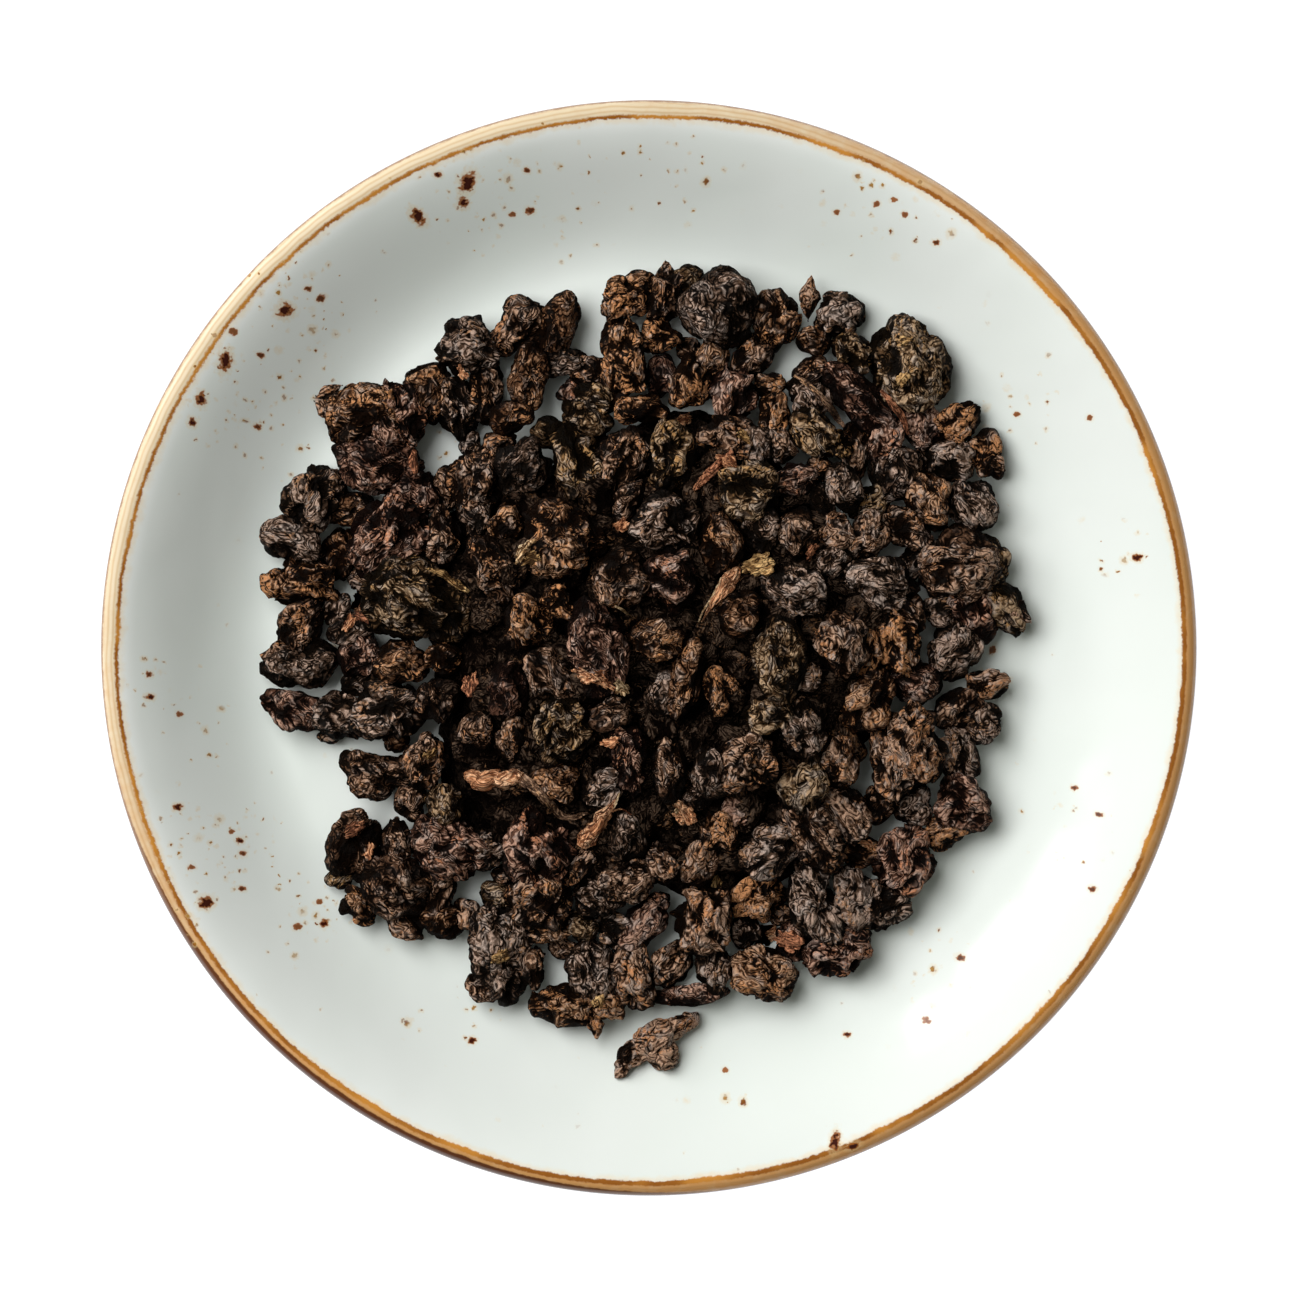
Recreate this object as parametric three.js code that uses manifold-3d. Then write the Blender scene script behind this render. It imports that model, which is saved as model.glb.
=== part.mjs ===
// Gaba oolong tea: a heap of dark rolled-leaf pellets in a small glazed dish, with one pellet lying
// loose beside the heap. Millimetres, +Z up, origin at the middle of the foot ring's base; +Y is the
// top of a picture taken straight from above and +X its right-hand side.
import * as THREE from "three";
import { mergeVertices } from "three/addons/utils/BufferGeometryUtils.js";
import Module from "manifold-3d";

const wasm = await Module();
wasm.setup();

// Dish
const dishRadius = 72.5;
const dishSegments = 60;
const floorTop = 6;
const recessTop = 2.4;
const wallStart = 50;
const wallEnd = 74.5;
const wallRise = 13;
const beadRadius = 1.7;
const beadEnd = 2.02;
const footOuter = 43.6;
const footInner = 39.4;
const footEdge = 0.5;
const wallThick = 3.3;
const underSteps = 5;
const beadSteps = 6;
const wallSteps = 6;

// Heap
const restGap = 0.3;
const moundRise = 7.5;
const moundInner = 10;
const moundOuter = 44;
const coreRadius = 35;
const coreBand = 6;
const coreShift = [1, -1.5];
const coreLift = 4.2;
const liftStep = 1.6;
const heightRatio = 0.9;
const usualWidth = 6.5;
const fewestLobes = 5;
const lobeSpread = 4;
const leastWidth = 6.6;
const tipHeight = 3.8;

// Starting solid of a pellet by its width: [geometry, detail, growth that makes up for flat sides, least width]
const pelletSides = [
  [THREE.IcosahedronGeometry, 1, 1.06, 9.4],
  [THREE.OctahedronGeometry, 1, 1.12, 5.5],
  [THREE.IcosahedronGeometry, 0, 1.16, 0],
];

// Pellets of the heap, each [x, y, length, width, turn in degrees, lift above its neighbours]:
// first the outer ones that make the heap's uneven outline, then those that show inside it.
const outerPellets = [
  [-38.3, 31, 10.5, 9, 0, 0.6], [-33.2, 30.9, 10.2, 7.6, 90, 0.8], [-29.3, 33.2, 6.6, 4.8, 85, 0.4],
  [-25.6, 32, 9, 5.6, 100, 0], [-24.3, 40, 8.2, 8, 0, 0.4], [-21.8, 34.4, 9, 4.8, 90, 0.2],
  [-17, 42.6, 8.2, 6.4, 60, 0], [-12.2, 43.6, 8.6, 5.8, 75, 0.4], [-11.6, 38.4, 7, 4, 0, 0],
  [-7.6, 37, 6, 4, 0, -0.2], [-3.4, 46.8, 6.2, 5.6, 0, 0.2], [1.8, 47, 6.8, 6, 80, 0.3],
  [9.3, 45, 10.6, 10.2, 120, 0.9], [16.8, 43.8, 7.4, 7, 60, 0.1], [22, 41, 4.6, 4.2, 0, 0.5],
  [25.4, 44.6, 7, 5.6, 0, 0.1], [27, 39.4, 6, 5.2, 120, 0.3], [34.8, 38, 12.6, 10.4, 105, 0.7],
  [41.6, 30.2, 6.8, 5, 30, 0.4], [40.2, 25.4, 6.6, 5.4, 0, 0.5], [45, 25.8, 6.6, 4.4, 100, 0],
  [43.4, 19.1, 6.8, 6.4, 120, 0.2], [41.2, 10.9, 10.4, 10, 0, 0.9], [45.4, 11.9, 8, 5, 125, 0.2],
  [47.4, 6, 8.4, 5, 130, 0], [43.4, 4.8, 8.4, 6.2, 110, 0.4], [40.8, -0.4, 7.8, 7, 60, 0.5],
  [45, -5, 5.4, 5, 0, 0], [41.2, -8, 6.8, 5.4, 30, 0.4], [45, -10, 5, 4.8, 30, 0],
  [41.4, -13.9, 7.8, 5.2, 110, 0.2], [41.9, -20.9, 7.6, 6.8, 150, 0.3], [39.6, -24.3, 6, 4.6, 20, 0],
  [34.2, -27.9, 9.4, 7.2, 75, 0.5], [31.4, -34.2, 7, 6.6, 30, 0.2], [27.4, -33.8, 8.6, 5.6, 95, 0.4],
  [25.2, -40.8, 9.8, 6.4, 10, 0.3], [15.2, -43.5, 9, 6.6, 165, 0.3], [8.6, -43.2, 6.8, 5.2, 90, 0.4],
  [5.6, -46.5, 10.2, 3.2, 8, 0], [3.2, -42.2, 7, 5.2, 60, -0.3], [-2.3, -43.8, 9.6, 5.8, 110, 0.5],
  [-7.6, -43, 7.4, 6.6, 90, 0.4], [-6.2, -47.6, 5.4, 4.6, 0, 0.3], [-11, -47.8, 10.8, 5.6, 165, 0.2],
  [-15.4, -42.8, 5.8, 4.2, 70, 0.2], [-20.2, -40.4, 14, 7.8, 95, 0.5], [-24.6, -35.6, 4.4, 4.2, 90, -0.2],
  [-27.4, -36.6, 6.6, 5, 10, 0.3], [-32.4, -37, 5.6, 4.4, 150, 0], [-39, -34.6, 5.8, 4.8, 140, 0],
  [-39.4, -26.3, 9.8, 7.2, 80, 0.3], [-36.8, -16.7, 9.2, 6.2, 160, 0.4], [-41, -9.1, 8, 6.2, 150, 0.3],
  [-47.4, -8.5, 9, 6, 155, 0.2], [-46.8, -1.7, 10, 6.8, 10, 0.2], [-46.4, 3.2, 7.4, 5.6, 60, 0.1],
  [-46.2, 8.8, 10.2, 7, 170, 0.3], [-47.4, 14.6, 8.4, 6.4, 160, 0.3], [-44.2, 20.3, 8.6, 7.6, 60, 0.1],
  [-41.2, 12.4, 7.4, 5.4, 90, -0.5], [-39.8, 19, 6, 5, 0, -0.3], [-28, -32.6, 7.2, 4.6, 75, 0.4],
  [1.9, 41.6, 5.8, 4.6, 0, 0.4], [13.4, 38.4, 7, 4.8, 50, 0.1], [36.6, 30, 8, 5, 120, 0.4],
];
const innerPellets = [
  [-36, 24.6, 11.6, 7.2, 165, 0.7], [-31.4, 20.6, 7, 6.6, 90, 0.8], [-34.6, 15, 12.6, 9.6, 40, 1.1],
  [-16, 35.8, 10, 5.4, 80, 0.8], [-18.2, 30.6, 6.4, 4.4, 20, 1.2], [-13.2, 29, 5.4, 4.6, 0, 0.2],
  [-34.2, -31.6, 10.4, 8.6, 150, 0.9], [-27.6, 14.6, 8.2, 5.2, 80, 0.7],
  [-30.9, 5.8, 14.8, 11.2, 160, 1.6], [-23, 17.2, 6.4, 5, 90, 0], [-18.8, 16.2, 6, 5, 45, 0.4],
  [-20.8, 10.4, 9.8, 5.8, 120, 0.9], [-16, 3.4, 7.6, 6.2, 110, 1.5], [-23.2, 22.6, 8.2, 7, 100, 0.7],
  [-16.8, 23.6, 8.4, 7.6, 60, 1.2], [-11.2, 14.5, 10.6, 10, 0, 1.6], [-9.4, 25.2, 10, 6, 100, 1],
  [-3.2, 38.2, 10.6, 6.6, 95, 0.9], [-6.8, 33, 6.4, 4, 160, 0.4],
  [5.6, 35.8, 7.6, 5.8, 90, 0.7], [11.2, 33.6, 8.6, 6.2, 80, 0.6],
  [16.2, 35.2, 4.6, 3.6, 0, 0.4], [16.8, 31.2, 6, 4.4, 80, 0.9], [-1.4, 32.2, 8.4, 4.6, 160, 0.6],
  [-3.4, 24.8, 8.8, 6.2, 80, 0.8], [2.9, 24.9, 10.8, 6.2, 95, 1.5], [-2.8, 19.6, 6.4, 3.8, 60, 0.6],
  [2.1, 16.4, 8.6, 7.4, 20, 1.5], [10.4, 28.2, 8.2, 5.6, 170, 1], [14.6, 26.4, 5.6, 4.4, 80, 1],
  [17.8, 26.9, 4.6, 4, 120, 0.9], [13, 21, 7.8, 7.6, 0, 1.7], [19.4, 22.4, 5.8, 5.2, 0, 1.3],
  [21.4, 33.2, 7, 5.6, 120, 0.5], [22.6, 28.5, 9.8, 5.4, 135, 1.2], [28.4, 33.2, 13.2, 6, 138, 1.3],
  [31.6, 27.4, 6.6, 4.6, 60, 1], [32.6, 23, 7.2, 6, 90, 0.8],
  [26.2, 21.5, 7, 5, 95, 1.6], [37.4, 19.8, 8, 6.6, 120, 0.8], [22.8, 19.2, 5.6, 3.2, 110, 1],
  [19.4, 15.2, 6.6, 5.2, 90, 1.4], [9.6, 14.2, 8.2, 5.6, 100, 1.5], [14.6, 15.2, 6.2, 4.4, 90, 1.1],
  [24.8, 15.6, 5.2, 4.4, 0, 0.9], [29.4, 15, 7, 5.4, 60, 0.9], [34.6, 15.8, 7.4, 4.8, 150, 0.6],
  [30.8, 8.6, 9.6, 7, 170, 1.4], [24.6, 11.6, 5.6, 4.4, 45, 0.8], [19.4, 7.6, 9.4, 6.4, 160, 1.5],
  [2.6, 9.2, 7.8, 7.4, 0, 2], [-3.8, 8.9, 8.4, 7.4, 80, 1.9], [33.6, 4.6, 7.4, 5.4, 150, 1.1],
  [38.6, 5, 4.6, 4.2, 0, 0.4], [11.6, 4.6, 6.6, 6.2, 0, 1.5], [17, -1.6, 13.2, 6.6, 95, 1.8],
  [15.8, -9, 6, 5.2, 0, 1.5], [20.5, -3.8, 4.6, 4, 20, 1.4], [20.3, -10.3, 7.4, 6.6, 100, 1.5],
  [25.8, 0.5, 9.2, 7.2, 100, 1.6], [29.4, -0.8, 6.8, 3.6, 80, 1.3], [33.6, 0.2, 8.2, 6.2, 100, 1.1],
  [29.4, -7, 8.6, 6.6, 60, 1.6], [35.6, -5, 7.4, 6, 0, 0.8], [34.6, -13.7, 12.2, 9.6, 100, 1.4],
  [13.2, -15.1, 8.8, 8.2, 0, 1.9], [8.2, -16.4, 7.2, 5.8, 100, 1.5], [2.5, -16.2, 8.8, 4.6, 95, 1.6],
  [-2.6, -14.8, 10.2, 5.6, 100, 1.6], [-6, -18.2, 6.4, 5.4, 20, 1.2], [-11.6, -10.8, 8.2, 7.4, 60, 1.7],
  [-12.4, -17.7, 6.4, 5.4, 0, 1], [-6.6, 0.4, 13.2, 7.8, 105, 2], [-12.2, 5.6, 5.4, 4.6, 0, 1.2],
  [-13.2, -3.8, 8.2, 5.2, 120, 0.9], [-18.4, -5.4, 8.2, 5.8, 80, 1.2], [1.4, 0.9, 6.8, 6, 20, 2.1],
  [1.6, -6.4, 6.2, 4.6, 90, 1.5], [5.2, -4, 10.6, 4.6, 75, 2], [9.4, -6, 6.4, 4.6, 90, 1.3],
  [-4.8, -9, 5.8, 4.8, 20, 1.3], [-38.2, -1.1, 6.6, 5.8, 80, 0.5], [-32.8, -1.7, 8.4, 6, 10, 0.9],
  [-27.6, -1.3, 5.2, 5, 0, 1.1], [-28.4, -7, 6, 5.6, 90, 1.2], [-34.8, -8, 9, 8.2, 0, 1],
  [-23, -10.9, 6, 5, 90, 1.1], [-17.6, -12.4, 6, 5.2, 80, 0.9], [-30.2, -15, 7.8, 6.6, 70, 0.9],
  [-27.2, -21, 5.6, 5.2, 90, 1.1], [-31.9, -20.2, 5.2, 4.4, 60, 0.4], [-33.7, -26.6, 8.2, 4.2, 85, 0.4],
  [-27, -26.4, 10.8, 8, 150, 1.1], [-21.8, -26.8, 7.4, 6, 0, 0.4], [-14.6, -26.4, 10.6, 8.8, 100, 1.5],
  [-14.2, -32.8, 9, 8, 45, 1.1], [-9, -28.6, 6.6, 3.8, 60, 0.8], [-2.8, -25.2, 6.2, 5.4, 90, 1.4],
  [-3, -30.9, 7.6, 6.2, 30, 1], [-6.8, -33.5, 6.8, 5.2, 160, 0.7], [-13.8, -37.2, 8.2, 4.8, 10, 0.4],
  [-9, -37.2, 4.2, 4.2, 0, 0.2], [-0.4, -36.6, 8.8, 4.8, 60, 0.4], [-4.2, -38, 5.6, 4.6, 0, 0],
  [2, -28.6, 5.6, 5.2, 120, 0.9], [6.6, -28.6, 6.4, 4.4, 80, 0.7], [9.2, -24.3, 6, 5, 100, 1.3],
  [7.4, -36.2, 10, 8, 95, 1.1], [14.2, -33.6, 8.4, 6.4, 20, -0.3], [15.6, -27, 8.6, 6.4, 20, 1.4],
  [22, -34, 12.6, 7.4, 105, 1], [21.6, -24.8, 11.6, 7.2, 130, 1.4], [20.6, -18.8, 7.6, 6.2, 60, 1.5],
  [25.2, -15.2, 8.4, 5.4, 90, 1.1], [26.2, -22, 9, 5.8, 130, 0.9], [30.9, -20.8, 5.6, 5.2, 60, 0.2],
  [28.4, -27.4, 4.6, 4.2, 0, 0.3], [6.2, -19.8, 5, 4.2, 0, 0.9], [12, -22, 5.4, 4.2, 0, 0.6],
  [-8.4, 30.4, 7.6, 5.4, 150, 0.2], [-20.2, 26.6, 6.2, 4.8, 20, 0.2], [-29.8, 36, 6.4, 4.6, 10, 0.1],
  [8.6, 38.6, 5.8, 5, 60, 0.1], [-39.4, 2.2, 6, 5.2, 40, 0.1], [21.8, 36.8, 5, 4.4, 30, 0],
  [4.8, 49.2, 5.4, 4, 0, 0], [19.3, -39.6, 5.4, 4.8, 30, 0], [-21.8, -45, 5.4, 4.6, 10, 0],
  [-20.4, -33.2, 4.6, 4, 0, 0], [-1.4, 48.6, 4.8, 3.6, 0, 0], [-17.2, 45.2, 4.8, 4, 0, 0],
];

// Pointed leaf ends at the outline, each [x, y, length, width, turn].
const leafTips = [
  [-42.9, 34.1, 4.6, 1.8, 30], [-43.2, 32, 5, 2.2, -52], [2.2, 50.2, 3.6, 2.6, 92], [21.6, 46.6, 6.2, 3.2, 85],
  [-49.5, -1.1, 5.2, 4.8, 175], [49.2, 5, 5, 3.4, -40], [46, 24.7, 4, 3, -45],
  [17.2, -45.6, 4, 3.2, -70], [-7.1, -50.4, 3.8, 2.6, -88],
];

// The loose pellet: a twisted run of folds lying up the start of the dish's wall.
const looseFolds = [
  [-3.6, -56, 3.4, 2.2, 70], [-2.5, -54.4, 4.4, 3.4, 50], [0.5, -52.9, 6.6, 4.6, 45],
  [1.7, -54.7, 4.2, 3.6, 20], [3.3, -51, 5.8, 3.4, 35], [5.4, -49.9, 3.2, 2.2, 30],
];

function smooth(t) {
  const u = Math.min(Math.max(t, 0), 1);
  return u * u * (3 - 2 * u);
}

// Height of the dish's upper surface at a distance from the middle.
function dishTop(radius) {
  return floorTop + wallRise * smooth((radius - wallStart) / (wallEnd - wallStart));
}

// Height that a pellet of the heap stands on: the dish near the outline, other pellets further in.
function standHeight(radius) {
  return dishTop(radius) + moundRise * smooth((moundOuter - radius) / (moundOuter - moundInner));
}

// Seeded random numbers from 0 to 1.
function makeRandom(seed) {
  let state = seed >>> 0;
  return () => {
    state = (state + 0x6d2b79f5) >>> 0;
    let t = state;
    t = Math.imul(t ^ (t >>> 15), t | 1);
    t ^= t + Math.imul(t ^ (t >>> 7), t | 61);
    return ((t ^ (t >>> 14)) >>> 0) / 4294967296;
  };
}

// Where the wall runs into the rounded rim, its slope the same as the rim's.
const joinRadius = dishRadius - beadRadius + beadRadius * Math.cos(beadEnd);
const beadHeight = dishTop(joinRadius) - beadRadius * Math.sin(beadEnd);

// Points up the inside of the wall, from the floor's edge to the rim, raised by an amount.
function wallPoints(raise) {
  const points = [];
  const end = joinRadius;
  for (let i = 0; i <= wallSteps; i += 1) {
    const radius = wallStart + ((end - wallStart) * i) / wallSteps;
    points.push(new THREE.Vector2(radius, dishTop(radius) + raise));
  }
  return points;
}

// A profile from the axis back to the axis, turned about Z.
function turnedSolid(points, segments) {
  const geometry = new THREE.LatheGeometry(points, segments);
  geometry.rotateX(Math.PI / 2);
  return geometry;
}

// The dish: foot ring, underside, rounded rim, curved wall and flat floor.
function dishGeometry() {
  const points = [
    new THREE.Vector2(0, recessTop),
    new THREE.Vector2(footInner - footEdge, recessTop),
    new THREE.Vector2(footInner, footEdge),
    new THREE.Vector2(footInner + footEdge, 0),
    new THREE.Vector2(footOuter - footEdge, 0),
    new THREE.Vector2(footOuter, footEdge),
    new THREE.Vector2(footOuter + footEdge, recessTop),
  ];
  const underStart = wallStart - 1;
  const underEnd = dishRadius - beadRadius * 0.7;
  for (let i = 0; i <= underSteps; i += 1) {
    const radius = underStart + ((underEnd - underStart) * i) / underSteps;
    const rise = dishTop(radius) - floorTop;
    points.push(new THREE.Vector2(radius, recessTop + rise * (1 + (floorTop - recessTop - wallThick) / wallRise)));
  }
  const start = -0.9;
  for (let i = 0; i < beadSteps; i += 1) {
    const angle = start + ((beadEnd - start) * i) / beadSteps;
    const radius = dishRadius - beadRadius + beadRadius * Math.cos(angle);
    points.push(new THREE.Vector2(radius, beadHeight + beadRadius * Math.sin(angle)));
  }
  points.push(...wallPoints(0).reverse());
  points.push(new THREE.Vector2(0, floorTop));
  return turnedSolid(points, dishSegments);
}

// A closed geometry as a solid that can be joined and cut.
function solidOf(geometry) {
  const bare = geometry.clone();
  bare.deleteAttribute("normal");
  bare.deleteAttribute("uv");
  const merged = mergeVertices(bare, 1e-4);
  return new wasm.Manifold(
    new wasm.Mesh({
      numProp: 3,
      vertProperties: new Float32Array(merged.attributes.position.array),
      triVerts: new Uint32Array(merged.index.array),
    }),
  );
}

// Everything below the dish's upper surface, raised by the gap that the tea keeps to it.
function dishCutter() {
  const wall = wallPoints(restGap);
  const edge = wall[wall.length - 1];
  const below = -floorTop;
  const points = [new THREE.Vector2(0, below), new THREE.Vector2(edge.x, below)];
  points.push(...wall.reverse(), new THREE.Vector2(0, floorTop + restGap));
  return solidOf(turnedSolid(points, dishSegments));
}

// Rounded lobes of one folded pellet: spheres set round the middle of a ball of radius about 1.
function makeLobes(seed) {
  const random = makeRandom(seed);
  const count = fewestLobes + Math.floor(random() * lobeSpread);
  const spin = random() * 2 * Math.PI;
  const lobes = [];
  for (let i = 0; i < count; i += 1) {
    const up = 1 - (2 * (i + 0.5)) / count + (random() - 0.5) * 0.3;
    const height = Math.min(Math.max(up, -1), 1);
    const angle = spin + i * 2.39996 + (random() - 0.5) * 0.7;
    const flat = Math.sqrt(1 - height * height);
    const reach = 0.86 + 0.14 * random();
    const offset = reach * (0.32 + 0.13 * random());
    const axis = new THREE.Vector3(flat * Math.cos(angle), flat * Math.sin(angle), height);
    lobes.push({ centre: axis.multiplyScalar(offset), radius: reach - offset });
  }
  return lobes;
}

// Distance from the middle to the outermost lobe in a direction.
function lobeReach(lobes, direction) {
  let reach = 0;
  for (const { centre, radius } of lobes) {
    const along = centre.dot(direction);
    const inside = radius * radius - centre.lengthSq() + along * along;
    if (inside > 0) reach = Math.max(reach, along + Math.sqrt(inside));
  }
  return reach;
}

// Middle and half size of the lobes along one axis.
function lobeSpan(lobes, axis) {
  const high = Math.max(...lobes.map(({ centre, radius }) => radius + centre[axis]));
  const low = Math.max(...lobes.map(({ centre, radius }) => radius - centre[axis]));
  return { middle: (high - low) / 2, half: (high + low) / 2 };
}

// One pellet, its lobes stretched to length, width and height.
function pelletGeometry(seed, length, width) {
  const [make, detail, grow] = pelletSides.find((row) => width >= row[3]);
  const geometry = new make(1, detail);
  const lobes = makeLobes(seed);
  const position = geometry.attributes.position;
  const point = new THREE.Vector3();
  for (let i = 0; i < position.count; i += 1) {
    point.fromBufferAttribute(position, i).normalize();
    point.multiplyScalar(lobeReach(lobes, point));
    position.setXYZ(i, point.x, point.y, point.z);
  }
  const spans = ["x", "y", "z"].map((axis) => lobeSpan(lobes, axis));
  geometry.translate(-spans[0].middle, -spans[1].middle, -spans[2].middle);
  geometry.scale(
    (grow * length) / 2 / spans[0].half,
    (grow * width) / 2 / spans[1].half,
    (grow * width * heightRatio) / 2 / spans[2].half,
  );
  return geometry;
}

// A pellet of the heap in its place.
function heapPellet([x, y, length, width, turn, lift], seed) {
  const geometry = pelletGeometry(seed, length, width);
  const top = (heightRatio * (width + usualWidth)) / 2 + lift * liftStep;
  const middle = standHeight(Math.hypot(x, y)) + top - (heightRatio * width) / 2;
  geometry.rotateZ(THREE.MathUtils.degToRad(turn));
  geometry.translate(x, y, middle);
  return solidOf(geometry);
}

// A leaf end: a flat spindle with two points.
function leafTip([x, y, length, width, turn]) {
  const middle = Math.max(floorTop + tipHeight, dishTop(Math.hypot(x, y)) + restGap + width / 3);
  const geometry = new THREE.OctahedronGeometry(1, 0);
  geometry.scale(length / 2, width / 2, width / 3);
  geometry.rotateZ(THREE.MathUtils.degToRad(turn));
  geometry.translate(x, y, middle);
  return solidOf(geometry);
}

// The middle of the heap, under the pellets that show.
function heapCore() {
  const steps = 6;
  const points = [new THREE.Vector2(0, floorTop - 1), new THREE.Vector2(coreRadius, floorTop - 1)];
  for (let i = 0; i <= steps; i += 1) {
    const radius = coreRadius * (1 - i / steps);
    const lift = 0.5 + coreLift * smooth((coreRadius - radius) / coreBand);
    points.push(new THREE.Vector2(radius, standHeight(radius) + lift));
  }
  const geometry = turnedSolid(points, 24);
  geometry.translate(coreShift[0], coreShift[1], 0);
  return solidOf(geometry);
}

// The biggest body of a solid, with sealed hollows filled and scraps dropped.
function mainBody(solid) {
  const bodies = solid.decompose();
  bodies.sort((a, b) => b.volume() - a.volume());
  return bodies[0];
}

function heapSolid() {
  let heap = heapCore();
  [...outerPellets, ...innerPellets].forEach((row, index) => {
    const inside = Math.hypot(row[0], row[1]) < coreRadius - coreBand;
    if (row[3] >= leastWidth || !inside) heap = heap.add(heapPellet(row, index + 1));
  });
  for (const row of leafTips) heap = heap.add(leafTip(row));
  return mainBody(heap.subtract(dishCutter()));
}

function looseSolid() {
  let loose = null;
  looseFolds.forEach(([x, y, length, width, turn], index) => {
    const geometry = pelletGeometry(500 + index, length, width);
    geometry.rotateZ(THREE.MathUtils.degToRad(turn));
    geometry.translate(x, y, dishTop(Math.hypot(x, y)) + restGap + (heightRatio * width) / 2);
    const fold = solidOf(geometry);
    loose = loose ? loose.add(fold) : fold;
  });
  return mainBody(loose.subtract(dishCutter()));
}

function geometryOf(solid) {
  const mesh = solid.getMesh();
  const geometry = new THREE.BufferGeometry();
  geometry.setAttribute("position", new THREE.BufferAttribute(mesh.vertProperties, 3));
  geometry.setIndex(new THREE.BufferAttribute(mesh.triVerts, 1));
  geometry.computeVertexNormals();
  return geometry;
}

function namedMesh(name, geometry, color, roughness) {
  const material = new THREE.MeshStandardMaterial({ color, roughness, metalness: 0 });
  const mesh = new THREE.Mesh(geometry, material);
  mesh.name = name;
  return mesh;
}

const group = new THREE.Group();
group.add(namedMesh("dish", dishGeometry(), 0xe3e6df, 0.12));
group.add(namedMesh("tea_heap", geometryOf(heapSolid()), 0x3a2f28, 0.7));
group.add(namedMesh("loose_pellet", geometryOf(looseSolid()), 0x463a33, 0.7));

export default group;
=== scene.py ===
# A heap of dark rolled oolong leaves in a small glazed dish, seen from straight above.
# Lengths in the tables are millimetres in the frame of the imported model; meshes are made in metres.
import math

import bpy
import numpy as np
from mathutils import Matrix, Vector


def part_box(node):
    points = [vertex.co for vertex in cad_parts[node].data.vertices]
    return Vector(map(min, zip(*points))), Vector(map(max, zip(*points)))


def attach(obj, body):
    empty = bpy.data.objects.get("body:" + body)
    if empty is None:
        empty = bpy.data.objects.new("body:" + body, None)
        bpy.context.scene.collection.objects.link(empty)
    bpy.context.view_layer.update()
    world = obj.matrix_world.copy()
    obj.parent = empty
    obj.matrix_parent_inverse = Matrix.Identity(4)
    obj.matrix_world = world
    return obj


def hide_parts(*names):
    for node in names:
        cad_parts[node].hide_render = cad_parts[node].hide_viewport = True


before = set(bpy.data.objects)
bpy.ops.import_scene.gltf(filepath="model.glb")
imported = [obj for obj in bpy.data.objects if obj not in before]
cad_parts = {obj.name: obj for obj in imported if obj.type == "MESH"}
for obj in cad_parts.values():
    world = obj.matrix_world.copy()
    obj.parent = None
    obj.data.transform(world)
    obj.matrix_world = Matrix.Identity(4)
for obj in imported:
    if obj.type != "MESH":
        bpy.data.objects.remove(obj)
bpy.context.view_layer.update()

scene = bpy.context.scene
millimetre = 0.001


def smooth(t):
    u = np.clip(t, 0, 1)
    return u * u * (3 - 2 * u)


def makeRandom(seed):
    # Numbers from 0 to 1 that repeat for a seed, from a 32 bit generator.
    allBits = 0xFFFFFFFF
    state = seed & allBits

    def draw():
        nonlocal state
        state = (state + 0x6D2B79F5) & allBits
        t = ((state ^ (state >> 15)) * (state | 1)) & allBits
        t = (t ^ (t + (((t ^ (t >> 7)) * (t | 61)) & allBits))) & allBits
        return ((t ^ (t >> 14)) & allBits) / (allBits + 1)

    return draw


def addPiece(name, mesh):
    piece = bpy.data.objects.new(name, mesh)
    scene.collection.objects.link(piece)
    return piece


def triangleMesh(name, points, faces):
    # Points in millimetres, faces as rows of three indices.
    mesh = bpy.data.meshes.new(name)
    mesh.vertices.add(len(points))
    mesh.loops.add(len(faces) * 3)
    mesh.loops.foreach_set("vertex_index", np.asarray(faces, np.int32).ravel())
    mesh.polygons.add(len(faces))
    mesh.polygons.foreach_set("loop_start", np.arange(0, len(faces) * 3, 3, dtype=np.int32))
    mesh.polygons.foreach_set("use_smooth", np.ones(len(faces), bool))
    writePoints(mesh, points)
    return mesh


def tubeFaces(rows, ring):
    # A closed tube: rows of ring points each, then one point for each of its two ends.
    here = np.arange(ring)
    after = (here + 1) % ring
    faces = []
    for row in range(rows - 1):
        a, b = row * ring + here, row * ring + after
        faces += [np.stack([a, b, b + ring], 1), np.stack([a, b + ring, a + ring], 1)]
    start, last = rows * ring, (rows - 1) * ring
    faces.append(np.stack([np.full(ring, start), after, here], 1))
    faces.append(np.stack([np.full(ring, start + 1), last + here, last + after], 1))
    return np.concatenate(faces)


def addAttribute(mesh, name, values, domain="POINT"):
    kind, key = ("FLOAT", "value") if np.ndim(values) == 1 else ("FLOAT_VECTOR", "vector")
    attribute = mesh.attributes.new(name, kind, domain)
    attribute.data.foreach_set(key, np.asarray(values, np.float32).ravel())


def readPoints(mesh):
    points = np.empty(len(mesh.vertices) * 3, np.float32)
    mesh.vertices.foreach_get("co", points)
    return points.reshape(-1, 3).astype(float) / millimetre


def writePoints(mesh, points):
    mesh.vertices.foreach_set("co", (points * millimetre).astype(np.float32).ravel())
    mesh.update(calc_edges=True)


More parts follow.
